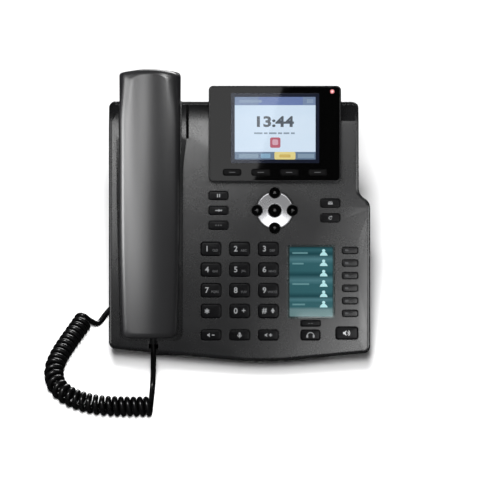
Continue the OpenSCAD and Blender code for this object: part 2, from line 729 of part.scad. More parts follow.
module coiled_cord() color([0.05, 0.05, 0.05]) {
    tube(cord_line, cord_r);
    on_face() {
        translate(socket_mouth + [0, -0.5, 0]) cord_plug();
        translate([cord_x, handset_y0 + 0.6, plug_z]) cord_plug();
    }
}

// ================= nodes =================

front_housing();
rear_housing();
screen_bezel();
screen_lens();
main_lcd();
side_window();
side_lcd();
nav_ring();
keypad_mat();
main_board();
loudspeaker();
status_led();
housing_screws();
front_foot();
coiled_cord();
hook_plunger();
handset_back_shell();
handset_front_shell();
earpiece_capsule();
handset_board();
stand();
stand_feet();
for (k = pad_keys)
    color([0.04, 0.04, 0.045]) bar_key(k, 1.5, flange_top, key_foot);
for (k = round_keys)
    color([0.04, 0.04, 0.045]) round_key(k, 2.4);
for (k = soft_keys)
    color([0.04, 0.04, 0.045]) bar_key(k, screen_z + 0.7, soft_flange, soft_foot);
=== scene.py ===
"""Looks of the desk IP phone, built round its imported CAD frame."""

import json
import math

import bmesh
import bpy
import numpy as np
from mathutils import Matrix, Vector


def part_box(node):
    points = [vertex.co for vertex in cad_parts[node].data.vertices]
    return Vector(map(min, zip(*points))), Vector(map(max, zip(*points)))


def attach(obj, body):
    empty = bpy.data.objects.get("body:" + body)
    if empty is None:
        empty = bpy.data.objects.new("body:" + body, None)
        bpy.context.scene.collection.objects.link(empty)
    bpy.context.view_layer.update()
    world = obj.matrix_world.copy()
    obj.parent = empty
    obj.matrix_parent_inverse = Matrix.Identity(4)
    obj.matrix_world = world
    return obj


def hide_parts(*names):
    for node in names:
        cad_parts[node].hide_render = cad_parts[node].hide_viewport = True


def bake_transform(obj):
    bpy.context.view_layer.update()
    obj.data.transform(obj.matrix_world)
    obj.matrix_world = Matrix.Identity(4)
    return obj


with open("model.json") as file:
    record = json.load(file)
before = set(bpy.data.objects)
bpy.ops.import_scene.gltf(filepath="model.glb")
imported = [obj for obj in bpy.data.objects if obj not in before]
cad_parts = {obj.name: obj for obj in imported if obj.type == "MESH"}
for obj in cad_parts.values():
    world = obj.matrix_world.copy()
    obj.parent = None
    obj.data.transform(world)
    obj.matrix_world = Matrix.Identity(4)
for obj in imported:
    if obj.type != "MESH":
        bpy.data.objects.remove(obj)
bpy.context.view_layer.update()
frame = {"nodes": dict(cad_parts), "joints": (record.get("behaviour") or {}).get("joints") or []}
nodes = frame["nodes"]
scene = bpy.context.scene

# ---------------------------------------------------------------- the face frame
# Most pieces are drawn in millimetres on the phone's face: x across, y up, z out of it.

OUT = Vector(next(j for j in frame["joints"] if j["name"] == "handset_lift")["axis"]).normalized()
RIGHT = Vector((1, 0, 0))
UP = OUT.cross(RIGHT)


def span_along_face(node):
    """Low and high corners of a CAD node, measured along the face's directions in mm."""
    co = np.array([v.co for v in nodes[node].data.vertices], float)
    q = np.stack([co @ np.array(a) for a in (RIGHT, UP, OUT)], axis=1) * 1000
    return q.min(0), q.max(0)


body_lo, body_hi = span_along_face("front_housing")
ORIGIN = np.array([(body_lo[0] + body_hi[0]) / 2, body_lo[1], body_hi[2]])
origin_at = (RIGHT * ORIGIN[0] + UP * ORIGIN[1] + OUT * ORIGIN[2]) / 1000
FACE = Matrix([(RIGHT[i] / 1000, UP[i] / 1000, OUT[i] / 1000, origin_at[i]) for i in range(3)]
              + [(0, 0, 0, 1)])
TO_FACE = FACE.inverted()


def face_box(node):
    """Low and high corners of a CAD node on the face frame."""
    lo, hi = span_along_face(node)
    return Vector(lo - ORIGIN), Vector(hi - ORIGIN)


def centre_of(node):
    lo, hi = face_box(node)
    return (lo + hi) / 2


# ---------------------------------------------------------------- mesh helpers


def rounded(w, h, r, n=6):
    """Counterclockwise outline of a rounded rectangle about the origin."""
    r = max(r, 0.05)
    out = []
    for cx, cy, a0 in ((w / 2 - r, h / 2 - r, 0), (r - w / 2, h / 2 - r, 90),
                       (r - w / 2, r - h / 2, 180), (w / 2 - r, r - h / 2, 270)):
        for i in range(n + 1):
            a = math.radians(a0 + 90 * i / n)
            out.append((cx + r * math.cos(a), cy + r * math.sin(a)))
    return out


def circle(r, n=48):
    return [(r * math.cos(2 * math.pi * i / n), r * math.sin(2 * math.pi * i / n)) for i in range(n)]


def loft(loops, closed=False):
    """Skin over loops of equally many points; the two ends are capped unless closed."""
    n = len(loops[0])
    verts = [tuple(p) for loop in loops for p in loop]
    faces = []
    rows = len(loops)
    for i in range(rows if closed else rows - 1):
        a, b = i * n, ((i + 1) % rows) * n
        for k in range(n):
            m = (k + 1) % n
            faces.append((a + k, a + m, b + m, b + k))
    if not closed:
        faces.append(tuple(reversed(range(n))))
        faces.append(tuple((rows - 1) * n + k for k in range(n)))
    return verts, faces


def moved(part, x, y):
    """A part of (verts, faces), with or without a material index, moved over the face."""
    return ([(px + x, py + y, pz) for px, py, pz in part[0]],) + tuple(part[1:])


def cleaned(mesh, weld=0.0, sliver=0.0):
    """The mesh with outward faces, after near points are welded and slivers taken out."""
    bm = bmesh.new()
    bm.from_mesh(mesh)
    if weld:
        bmesh.ops.remove_doubles(bm, verts=bm.verts, dist=weld)
    if sliver:
        bmesh.ops.dissolve_degenerate(bm, edges=bm.edges, dist=sliver)
    bmesh.ops.recalc_face_normals(bm, faces=bm.faces)
    bm.to_mesh(mesh)
    bm.free()
    return mesh


def mesh_of(parts):
    """One mesh from parts of (verts, faces) or (verts, faces, material index), with outward faces."""
    mesh = bpy.data.meshes.new("part")
    verts, faces, slots = [], [], []
    for part in parts:
        base = len(verts)
        verts += part[0]
        faces += [tuple(base + i for i in f) for f in part[1]]
        slots += [part[2] if len(part) > 2 else 0] * len(part[1])
    mesh.from_pydata(verts, [], faces)
    mesh.polygons.foreach_set("material_index", slots)
    return cleaned(mesh)


def placed(name, data):
    """A new object in the scene."""
    obj = bpy.data.objects.new(name, data)
    scene.collection.objects.link(obj)
    return obj


def carve(mesh, cutters):
    """mesh less each of the cutter meshes."""
    obj = placed("carved", mesh)
    tools = [placed("cutter", cutter) for cutter in cutters]
    for tool in tools:
        cut = obj.modifiers.new("cut", "BOOLEAN")
        cut.operation, cut.solver, cut.object = "DIFFERENCE", "EXACT", tool
    bpy.context.view_layer.update()
    result = bpy.data.meshes.new_from_object(obj.evaluated_get(bpy.context.evaluated_depsgraph_get()))
    for o in [obj] + tools:
        bpy.data.objects.remove(o)
    return result


def cad_mesh(node):
    """A welded copy of a CAD node's mesh, on the face frame in millimetres."""
    mesh = nodes[node].data.copy()
    mesh.transform(TO_FACE)
    mesh.materials.clear()
    return cleaned(mesh, weld=1e-3)


def piece(name, mesh, looks, body, slot, replaces=None, space=FACE, smooth=38, weighted=True):
    """Puts a mesh into the scene as a piece that rides on a CAD body."""
    mesh.name = name
    mesh.transform(space)
    for look in looks if isinstance(looks, (list, tuple)) else [looks]:
        mesh.materials.append(look)
    for data in ("custom_normal", "sharp_edge", "sharp_face"):
        if data in mesh.attributes:
            mesh.attributes.remove(mesh.attributes[data])
    mesh.shade_smooth()
    mesh.set_sharp_from_angle(angle=math.radians(smooth))
    obj = placed(name, mesh)
    if weighted:
        normals = obj.modifiers.new("normals", "WEIGHTED_NORMAL")
        normals.keep_sharp = True
    if body:
        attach(obj, body)
    if replaces:
        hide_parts(replaces)
    return obj


def glyphs(text, size, x=0.0, y=0.0, heavy=0.0, wide=1.0):
    """Flat outline of some characters, centred on (x, y): (points, faces)."""
    curve = bpy.data.curves.new("glyphs", "FONT")
    curve.body, curve.size, curve.offset, curve.resolution_u = text, size, heavy, 3
    obj = bpy.data.objects.new("glyphs", curve)
    scene.collection.objects.link(obj)
    bpy.context.view_layer.update()
    mesh = bpy.data.meshes.new_from_object(obj.evaluated_get(bpy.context.evaluated_depsgraph_get()))
    bm = bmesh.new()
    bm.from_mesh(mesh)
    bmesh.ops.remove_doubles(bm, verts=bm.verts, dist=1e-4)
    bm.verts.ensure_lookup_table()
    pts = [(v.co.x, v.co.y) for v in bm.verts]
    faces = [tuple(v.index for v in f.verts) for f in bm.faces]
    bm.free()
    bpy.data.objects.remove(obj)
    bpy.data.meshes.remove(mesh)
    cx = (min(p[0] for p in pts) + max(p[0] for p in pts)) / 2
    cy = (min(p[1] for p in pts) + max(p[1] for p in pts)) / 2
    return [((p[0] - cx) * wide + x, p[1] - cy + y) for p in pts], faces


def poly(points):
    return list(points), [tuple(range(len(points)))]


def box2(x0, x1, y0, y1):
    return poly([(x0, y0), (x1, y0), (x1, y1), (x0, y1)])


def pill(x, y, w, h, r, n=4):
    """Flat rounded rectangle centred on (x, y)."""
    return poly([(px + x, py + y) for px, py in rounded(w, h, r, n)])


def band(cx, cy, r0, r1, a0, a1, n=12):
    """Flat arc-shaped strip between two radii."""
    angles = [math.radians(a0 + (a1 - a0) * i / n) for i in range(n + 1)]
    inner = [(cx + r0 * math.cos(a), cy + r0 * math.sin(a)) for a in angles]
    outer = [(cx + r1 * math.cos(a), cy + r1 * math.sin(a)) for a in angles]
    return inner + outer, [(i, n + 1 + i, n + 2 + i, i + 1) for i in range(n)]


def thick(flat, low, high, slot=0):
    """A flat outline made into a closed slab between two heights; a height may be a function of x and y."""
    pts, faces = flat
    n = len(pts)
    verts = [(x, y, z(x, y) if callable(z) else z) for z in (low, high) for x, y in pts]
    sides = {pair: True for f in faces for pair in zip(f, f[1:] + f[:1])}
    out = [tuple(reversed(f)) for f in faces] + [tuple(n + i for i in f) for f in faces]
    out += [(a, b, n + b, n + a) for a, b in sides if (b, a) not in sides]
    return verts, out, slot


# ---------------------------------------------------------------- materials


def node(tree, kind, inputs=None, **props):
    """A shader node with its properties set and its inputs linked or given values."""
    made = tree.nodes.new(kind)
    for key, value in props.items():
        setattr(made, key, value)
    for key, value in (inputs or {}).items():
        if isinstance(value, bpy.types.NodeSocket):
            tree.links.new(value, made.inputs[key])
        else:
            made.inputs[key].default_value = value
    return made


def new_material(name):
    mat = bpy.data.materials.new(name)
    mat.use_nodes = True
    tree = mat.node_tree
    tree.nodes.clear()
    where = node(tree, "ShaderNodeTexCoord").outputs["Object"]
    return mat, tree, where


def output(tree, shader):
    node(tree, "ShaderNodeOutputMaterial", {"Surface": shader})


def principled(tree, inputs):
    return node(tree, "ShaderNodeBsdfPrincipled", inputs).outputs[0]


def srgb(r, g, b):
    """A screen colour in 0 to 255 as the linear colour that the shaders take."""
    return tuple(c / 255 / 12.92 if c <= 10 else ((c / 255 + 0.055) / 1.055) ** 2.4 for c in (r, g, b)) + (1,)


def scaled(color, gain):
    return tuple(min(1, c * gain) for c in color[:3]) + (1,)


def noise(tree, where, scale, detail=3.0, stretch=None):
    if stretch:
        where = node(tree, "ShaderNodeMapping", {"Vector": where, "Scale": stretch}).outputs[0]
    return node(tree, "ShaderNodeTexNoise",
                {"Vector": where, "Scale": scale, "Detail": detail, "Roughness": 0.55}).outputs["Fac"]


def spread(tree, value, low, high, start=0.3, end=0.7):
    """Maps start..end to low..high; the defaults are the range that noise mostly fills."""
    return node(tree, "ShaderNodeMapRange", {"Value": value, "From Min": start, "From Max": end,
                                             "To Min": low, "To Max": high}).outputs[0]


def ramp(tree, value, stops):
    made = node(tree, "ShaderNodeValToRGB", {"Fac": value})
    elements = made.color_ramp.elements
    while len(elements) < len(stops):
        elements.new(0.5)
    for element, (at, color) in zip(elements, stops):
        element.position, element.color = at, color
    return made.outputs["Color"]


def math_node(tree, operation, a, b=0.0):
    return node(tree, "ShaderNodeMath", {0: a, 1: b}, operation=operation).outputs[0]


def face_coord(tree, where, axis):
    """A shader value: the point's x, y or z on the face frame, in millimetres."""
    direction = (RIGHT, UP, OUT)[axis]
    along = node(tree, "ShaderNodeVectorMath", {0: where, 1: [c * 1000 for c in direction]},
                 operation="DOT_PRODUCT").outputs["Value"]
    return math_node(tree, "SUBTRACT", along, float(ORIGIN[axis]))


def inside(tree, value, low, high):
    a = math_node(tree, "GREATER_THAN", value, low)
    return math_node(tree, "MULTIPLY", a, math_node(tree, "LESS_THAN", value, high))


def in_window(tree, where, window):
    """1 inside a rectangle of the face given by its low and high corners, 0 outside it."""
    low, high = window
    across, up = (inside(tree, face_coord(tree, where, k), low[k], high[k]) for k in (0, 1))
    return math_node(tree, "MULTIPLY", across, up)


def blend_color(tree, mask, a, b):
    return node(tree, "ShaderNodeMixRGB", {"Fac": mask, "Color1": a, "Color2": b}).outputs[0]


def surface_normal(tree, where, grain, bump, edge):
    """A normal with moulding grain and softened edges, and the grain's own value."""
    tooth = noise(tree, where, 0.6 / grain, 2.0)
    inputs = {"Height": tooth, "Strength": bump, "Distance": grain * 0.2}
    if edge:
        inputs["Normal"] = node(tree, "ShaderNodeBevel", {"Radius": edge}, samples=4).outputs[0]
    return node(tree, "ShaderNodeBump", inputs).outputs[0], tooth


def plastic(name, color, rough=0.45, grain=0.0006, bump=0.12, mottle=0.12, edge=0.0004, metal=0.0,
            vary=0.06, level=0.5, paint=None, streak=None):
    """Moulded plastic, rubber or metal: grain, worn patches of gloss and small shifts of colour."""
    mat, tree, where = new_material(name)
    normal, tooth = surface_normal(tree, where, grain, bump, edge)
    patches = noise(tree, where, 28, 4.0, stretch=streak)
    mixed = math_node(tree, "ADD", math_node(tree, "MULTIPLY", patches, 0.7),
                      math_node(tree, "MULTIPLY", tooth, 0.3))
    shade = ramp(tree, mixed, [(0.32, scaled(color, 1 - mottle)), (0.68, scaled(color, 1 + mottle))])
    if paint:
        shade = paint(tree, where, shade)
    gloss = spread(tree, mixed, rough - vary, rough + vary)
    facing = node(tree, "ShaderNodeLayerWeight", {"Blend": 0.5, "Normal": normal}).outputs["Facing"]
    shine = level if metal else spread(tree, facing, level, level * 0.1, 0.45, 0.85)
    output(tree, principled(tree, {"Base Color": shade, "Roughness": gloss, "Normal": normal,
                                   "Metallic": metal, "Specular IOR Level": shine}))
    return mat


PIXEL_WAVE = 26.0  # radians per mm, which makes about four rows of pixels to a millimetre


def pixel_rows(tree, where):
    """Brightness of a display, a little lower between its rows of pixels."""
    wave = math_node(tree, "SINE", math_node(tree, "MULTIPLY", face_coord(tree, where, 1), PIXEL_WAVE))
    return spread(tree, wave, 0.97, 1.0, -1, 1)


def glow(name, color):
    """A lit patch of a display, with slight unevenness of the backlight."""
    mat, tree, where = new_material(name)
    shade = ramp(tree, noise(tree, where, 90, 3.0), [(0.3, scaled(color, 0.94)), (0.7, color)])
    output(tree, principled(tree, {
        "Base Color": (0.01, 0.01, 0.01, 1), "Roughness": 0.4,
        "Emission Color": shade, "Emission Strength": pixel_rows(tree, where)}))
    return mat


def display(name, stops, rim_color, window, haze, fade=(0.30, 0.42, 0.55, 1)):
    """An LCD: a lit picture with shades up its height, haze over it and a faded left side, in a dark rim."""
    mat, tree, where = new_material(name)
    across, up = (node(tree, "ShaderNodeMapRange", {
        "Value": face_coord(tree, where, k), "From Min": window[0][k], "From Max": window[1][k]}).outputs[0]
        for k in (0, 1))
    cloud = noise(tree, where, 45, 3.0, stretch=(1, 2.2, 2.2))
    shade = blend_color(tree, spread(tree, cloud, 0.0, 0.16), ramp(tree, up, stops), haze)
    shade = blend_color(tree, spread(tree, across, 0.10, 0.0, 0, 0.5), shade, fade)
    base = blend_color(tree, spread(tree, cloud, 0.0, 1.0), scaled(rim_color, 1), scaled(rim_color, 1.3))
    power = math_node(tree, "MULTIPLY", in_window(tree, where, window), pixel_rows(tree, where))
    output(tree, principled(tree, {"Base Color": base, "Roughness": 0.35, "Specular IOR Level": 0.05,
                                   "Emission Color": shade, "Emission Strength": power}))
    return mat


def glass(name, color, window, tint=(0.93, 0.96, 1.0, 1), rough=0.02):
    """Glossy panel, black but for a clear window over the display; window None means clear all over."""
    mat, tree, where = new_material(name)
    smear = noise(tree, where, 60, 4.0)
    gloss = spread(tree, smear, rough, rough + 0.02)
    edge = node(tree, "ShaderNodeBevel", {"Radius": 0.0003}, samples=4).outputs[0]
    dust = spread(tree, noise(tree, where, 2600, 2.0), 0.0, 0.03, 0.62, 0.8)
    sheen = node(tree, "ShaderNodeBsdfGlossy", {"Roughness": gloss, "Normal": edge}).outputs[0]
    clear = node(tree, "ShaderNodeBsdfTransparent", {"Color": tint}).outputs[0]
    mirror = node(tree, "ShaderNodeFresnel", {"IOR": 1.45, "Normal": edge}).outputs[0]
    pane = node(tree, "ShaderNodeMixShader",
                {0: math_node(tree, "ADD", mirror, dust), 1: clear, 2: sheen}).outputs[0]
    if window is None:
        output(tree, pane)
        return mat
    base = ramp(tree, smear, [(0.3, scaled(color, 0.8)), (0.7, scaled(color, 1))])
    solid = principled(tree, {"Base Color": base, "Roughness": gloss, "Normal": edge,
                              "Specular IOR Level": 0.5})
    mask = in_window(tree, where, window)
    output(tree, node(tree, "ShaderNodeMixShader", {0: mask, 1: solid, 2: pane}).outputs[0])
    return mat


housing = plastic("housing", (0.006, 0.0061, 0.0066), rough=0.27, grain=0.0007, bump=0.07, edge=0.0005,
                  vary=0.03)
# near-black, barely glossy look for inside the slot beside the cradle: painted shade standing in for the
# groove's shadow
slit_painted_shade = plastic("slit", (0.0012, 0.0012, 0.0014), rough=0.6, bump=0.1, level=0.05)
rear_black = plastic("rear_housing", (0.011, 0.011, 0.012), rough=0.5, grain=0.0009, bump=0.25)
frame_black = plastic("screen_frame", (0.006, 0.006, 0.0065), rough=0.3, bump=0.05, level=0.3)
handset_grey = plastic("handset", (0.012, 0.012, 0.0127), rough=0.34, grain=0.0006, bump=0.06,
                       streak=(1, 0.35, 0.35), vary=0.03)
# darker, duller handset plastic for the back's upright side walls and for the inner shell: painted shade
# where the handset's sides fall into shadow
handset_painted_shade = plastic("handset_inner", (0.007, 0.007, 0.008), rough=0.42, grain=0.0008, bump=0.2, level=0.25)
key_black = plastic("key", (0.0035, 0.0035, 0.004), rough=0.3, grain=0.0004, bump=0.04, edge=0.0002,
                    level=0.08)
line_black = plastic("line_key", (0.005, 0.005, 0.0056), rough=0.3, grain=0.0004, bump=0.04, edge=0.0002,
                     level=0.2)
nav_black = plastic("nav_key", (0.002, 0.002, 0.0024), rough=0.16, bump=0.02, edge=0)
soft_black = plastic("soft_key", (0.0018, 0.0018, 0.002), rough=0.45, bump=0.03, edge=0.0002, level=0.05)
ink = plastic("key_print", (0.27, 0.277, 0.285), rough=0.5, mottle=0.08, edge=0, level=0.2)
faint_ink = plastic("faint_print", (0.07, 0.072, 0.075), rough=0.5, mottle=0.1, edge=0, level=0.2)
bright_ink = plastic("bright_print", (0.6, 0.61, 0.62), rough=0.5, mottle=0.05, edge=0, level=0.2)
silver = plastic("silver_paint", (0.66, 0.66, 0.68), rough=0.27, grain=0.0003, bump=0.04, metal=1.0,
                 mottle=0.05, edge=0.0002)
cord_black = plastic("cord", (0.0035, 0.0035, 0.0038), rough=0.3, grain=0.0008, bump=0.06, edge=0, level=0.4)
clear_plug = plastic("plug", (0.02, 0.02, 0.021), rough=0.25, bump=0.04, edge=0.0003, level=0.3)
rubber = plastic("foot_rubber", (0.012, 0.012, 0.012), rough=0.78, grain=0.0008, bump=0.4)
stand_black = plastic("stand", (0.0105, 0.0105, 0.0115), rough=0.5, grain=0.0009, bump=0.25, edge=0.0006)
steel = plastic("screw", (0.42, 0.42, 0.43), rough=0.35, metal=1.0, grain=0.0004, edge=0.0001)
silicone = plastic("silicone", (0.11, 0.11, 0.12), rough=0.62, grain=0.0005, bump=0.1)
plunger = plastic("hook_plunger", (0.008, 0.008, 0.008), rough=0.35, bump=0.08)
capsule = plastic("capsule", (0.09, 0.09, 0.095), rough=0.4, metal=0.6, bump=0.15)
cone = plastic("loudspeaker", (0.03, 0.03, 0.032), rough=0.6, grain=0.0005, bump=0.4)

BOARD_GREEN = (0.02, 0.09, 0.035)
TRACK_GREEN = (0.10, 0.26, 0.10, 1)
SOCKET_BLACK = (0.012, 0.012, 0.013, 1)


def black_below(tree, where, shade, node_name, thickness):
    """The parts that hang below a board of this thickness are black."""
    low = math_node(tree, "LESS_THAN", face_coord(tree, where, 2), face_box(node_name)[1].z - thickness)
    return blend_color(tree, low, shade, SOCKET_BLACK)


def main_board_paint(tree, where, shade):
    tracks = node(tree, "ShaderNodeTexWave", {"Vector": where, "Scale": 120.0, "Distortion": 6.0,
                                              "Detail": 1.0}).outputs["Fac"]
    shade = blend_color(tree, spread(tree, tracks, 0.0, 0.5, 0.8, 0.95), shade, TRACK_GREEN)
    return black_below(tree, where, shade, "main_board", 1.65)


def mouth_board_paint(tree, where, shade):
    return black_below(tree, where, shade, "handset_board", 1.3)


board = plastic("circuit_board", BOARD_GREEN, rough=0.4, bump=0.1, edge=0, paint=main_board_paint)
mouth_board = plastic("mouth_board", BOARD_GREEN, rough=0.4, bump=0.1, edge=0, paint=mouth_board_paint)

# ---------------------------------------------------------------- body shells

PART_Z = -14.0  # where the two housings meet
CREASE_Y = 171.3  # the face falls away above this line
TOP_Y = face_box("front_housing")[1].y
BAND_DROP = 6.0  # how far it falls by the top edge
NUDGE = 0.01  # keeps a cutter's faces off the faces that it cuts


def body_outline():
    """The body's outline at the parting line, counterclockwise, from the outer walls that stand on it."""
    mesh = cad_mesh("front_housing")
    bm = bmesh.new()
    bm.from_mesh(mesh)
    middle = Vector((0, TOP_Y / 2))
    ways = {}
    for e in bm.edges:
        a, b = (v.co for v in e.verts)
        if abs(a.z - PART_Z) > 0.12 or abs(b.z - PART_Z) > 0.12:
            continue
        for f in e.link_faces:
            upright = abs(f.normal.z) < 0.2 and max(v.co.z for v in f.verts) > PART_Z + 2
            if upright and f.normal.xy.dot((a.xy + b.xy) / 2 - middle) > 0:
                k, m = (tuple(round(c, 2) for c in p.xy) for p in (a, b))
                ways.setdefault(k, set()).add(m)
                ways.setdefault(m, set()).add(k)
    bm.free()
    bpy.data.meshes.remove(mesh)
    loop = [min(ways)]
    onward = ways[loop[0]]
    while onward:
        loop.append(next(iter(onward)))
        onward = [p for p in ways[loop[-1]] if p not in loop]
    area = sum(a[0] * b[1] - b[0] * a[1] for a, b in zip(loop, loop[1:] + loop[:1]))
    return loop if area > 0 else loop[::-1]


def band_z(y):
    """Height of the face, which slopes back above its crease."""
    return -BAND_DROP * max(0.0, y - CREASE_Y) / (TOP_Y - CREASE_Y)


def with_crease(loop):
    """The outline with a point added wherever it crosses the crease."""
    out = []
    for a, b in zip(loop, loop[1:] + loop[:1]):
        out.append(a)
        if (a[1] - CREASE_Y) * (b[1] - CREASE_Y) < 0:
            t = (CREASE_Y - a[1]) / (b[1] - a[1])
            out.append((a[0] + t * (b[0] - a[0]), CREASE_Y))
    return out


def edge_cutter(loop, height, radius, sign=1):
    """A ring that rounds a slab's edge at z = height(point); sign is -1 for an edge of its underside."""
    n, steps, past = len(loop), 6, 1.5
    rings = []
    for i in range(n):
        p, a, b = Vector(loop[i]), Vector(loop[i - 1]), Vector(loop[(i + 1) % n])
        way = ((p - a).normalized() + (b - p).normalized()).normalized()
        out = Vector((way.y, -way.x))
        r, z = radius(p), height(p)
        section = [(-r - 2 * NUDGE, z + sign * past)]
        for k in range(steps + 1):
            t = math.radians(90 * k / steps)
            inset = -r + r * math.sin(t) - 2 * NUDGE * (k == 0)
            section.append((inset, z - sign * (r - r * math.cos(t)) + sign * NUDGE))
        section += [(past, z - sign * r + sign * NUDGE), (past, z + sign * past)]
        rings.append([(p.x + d * out.x, p.y + d * out.y, h) for d, h in section])
    return mesh_of([loft(rings, closed=True)])


OUTLINE = body_outline()
FRONT_RADIUS = 2.5
SLOT_X, SLOT_FOOT = (-38.4, -36.0), 157  # the narrow slot beside the cradle; its inside is painted near-black as painted shade
front = carve(cad_mesh("front_housing"),
              [edge_cutter(with_crease(OUTLINE), lambda p: band_z(p.y), lambda p: FRONT_RADIUS)])
# faces sunk inside the slot take the near-black look, as painted shade where the groove is in shadow
for face in front.polygons:
    c = face.center
    if SLOT_X[0] < c.x < SLOT_X[1] and c.y > SLOT_FOOT and c.z < band_z(c.y) - 0.3:
        face.material_index = 1
piece("front_housing_shell", front, [housing, slit_painted_shade], "base", "housing", "front_housing")

BACK_Z = -30.0
FOOT_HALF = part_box("front_foot")[1].x * 1000 + 9
FOOT_TOP = 14


def back_radius(p):
    """The back's edge is nearly sharp where the front foot's block meets it."""
    return 0.8 if abs(p.x) < FOOT_HALF and p.y < FOOT_TOP else 3.0


rear = carve(cad_mesh("rear_housing"), [edge_cutter(OUTLINE, lambda p: BACK_Z, back_radius, -1)])
piece("rear_housing_shell", rear, rear_black, "base", "rear_housing", "rear_housing")

# ---------------------------------------------------------------- screen


def window(centre, w, h, grow=0.0):
    """Low and high corners of a w by h rectangle about a point, grown on every side."""
    half_w, half_h = w / 2 + grow, h / 2 + grow
    return (centre.x - half_w, centre.y - half_h), (centre.x + half_w, centre.y + half_h)


bezel_lo, bezel_hi = face_box("screen_bezel")
bezel_c = centre_of("screen_bezel")
BEZEL_CORNER, BEZEL_EDGE = 3.4, 0.7
bezel_rim = [(x + bezel_c.x, y + bezel_c.y) for x, y in
             rounded(bezel_hi.x - bezel_lo.x, bezel_hi.y - bezel_lo.y, BEZEL_CORNER, 8)]
bezel = carve(cad_mesh("screen_bezel"), [edge_cutter(bezel_rim, lambda p: bezel_hi.z, lambda p: BEZEL_EDGE)])
piece("screen_frame", bezel, frame_black, "base", "screen_frame", "screen_bezel")

lcd_c, side_c = centre_of("main_lcd"), centre_of("side_lcd")
LCD_W, LCD_H = 57.6, 44.6
SIDE_W, SIDE_H = 30.8, 49.6
NAVY_RIM = 2.6  # the dark edge of the main display that shows through the glass
screen_glass = glass("screen_glass", (0.002, 0.002, 0.0022), window(lcd_c, LCD_W, LCD_H, NAVY_RIM))
side_glass = glass("side_glass", None, None, tint=(0.88, 0.96, 0.96, 1), rough=0.06)

GROUND, SHADE = srgb(228, 240, 247), srgb(214, 230, 240)
main_display = display(
    "display", [(0.0, SHADE), (0.15, GROUND), (0.6, GROUND), (0.85, srgb(222, 236, 244)), (1.0, SHADE)],
    (0.003, 0.005, 0.014), window(lcd_c, LCD_W, LCD_H), haze=(1, 1, 1, 1))

FOOT_TEAL, LIGHT_TEAL = srgb(118, 138, 140), srgb(90, 126, 134)
MID_TEAL, DEEP_TEAL = srgb(54, 94, 101), srgb(16, 54, 62)


def teal_rows():
    """Shades up the side display: a pale bar, then three groups of rows that brighten to a deep line."""
    stops = [(0.0, FOOT_TEAL), (0.1, FOOT_TEAL)]
    for low, high in ((0.1, 0.29), (0.29, 0.6), (0.6, 0.9)):
        tall = high - low
        stops += [(low + 0.2 * tall, MID_TEAL), (low + 0.55 * tall, MID_TEAL),
                  (low + 0.75 * tall, LIGHT_TEAL), (high, DEEP_TEAL)]
    return stops + [(0.96, MID_TEAL), (1.0, DEEP_TEAL)]


side_display = display("side_display", teal_rows(), (0.002, 0.012, 0.014), window(side_c, SIDE_W, SIDE_H),
                       haze=(0.012, 0.06, 0.07, 1), fade=(0.03, 0.06, 0.07, 1))

MAIN_INKS = {
    "clock_ink": (30, 42, 52), "grey_ink": (130, 145, 155),
    "title_blue": (74, 100, 156), "title_grey": (96, 118, 150), "title_light": (122, 142, 165),
    "bar_blue": (80, 106, 130), "bar_light": (121, 144, 160), "bar_teal": (122, 164, 186),
    "icon_red": (186, 62, 84), "icon_pink": (222, 160, 170),
    "tab_yellow": (238, 214, 120), "tab_gold": (214, 176, 60),
}
SIDE_INKS = {"person_white": (205, 238, 242), "row_ink": (92, 134, 140)}
LAYER, LAYER_STEP = 0.025, 0.03  # pictures are thin layers laid over each other
LIFT = 0.02  # of the first layer over the display


def picture(node_name, inks, items):
    """A mesh of flat items (shape, level, ink) on a display, and its materials."""
    z, centre = face_box(node_name)[1].z + LIFT, centre_of(node_name)
    parts = []
    for shape, level, name in items:
        low = z + LAYER_STEP * level
        parts.append(moved(thick(shape, low, low + LAYER, list(inks).index(name)), centre.x, centre.y))
    return mesh_of(parts), [glow(name, srgb(*rgb)) for name, rgb in inks.items()]


def main_items():
    """Title bar, clock, date line, call icon and the bar of soft-key tabs."""
    w, h = LCD_W / 2, LCD_H / 2
    title, tabs = h - 5.9, -h + 5.4
    items = [
        (box2(-w, -w + 17, title, h), 0, "title_grey"), (box2(-w + 17, w - 9, title, h), 0, "title_blue"),
        (box2(w - 9, w, title, h), 0, "title_grey"),
        (box2(-25.6, -9.6, h - 4.1, h - 2.1), 1, "title_light"),
        (box2(w - 6.2, w - 1.6, h - 4.4, h - 1.6), 1, "title_light"),
        (box2(-w, w, -h, tabs), 0, "bar_blue"),
        (box2(-25.8, -12.0, -h + 1.1, -h + 4.0), 1, "bar_light"),
        (box2(-10.2, -3.4, -h + 1.0, -h + 4.2), 1, "bar_teal"),
        (pill(7.0, 2.7 - h, 15.0, 5.4, 1.0), 1, "tab_yellow"),
        (pill(7.0, 2.5 - h, 8.0, 2.2, 0.6), 2, "tab_gold"),
        (box2(16.2, 27.8, -h + 1.1, -h + 4.0), 1, "bar_light"),
        (pill(0.1, -10.3, 7.4, 7.4, 1.3, 5), 0, "icon_red"),
        (pill(0.1, -10.0, 4.2, 4.0, 1.0, 5), 1, "icon_pink"),
        (glyphs("13:44", 10.2, 0.2, 4.7, heavy=0.36, wide=1.26), 0, "clock_ink"),
    ]
    x, x_end, gap = -15.0, 15.0, 1.0
    for width in (6.0, 2.6, 5.4, 3.0, 4.2, 2.8):
        items.append((box2(x, min(x + width, x_end), -4.2, -3.0), 0, "grey_ink"))
        x += width + gap
    return items


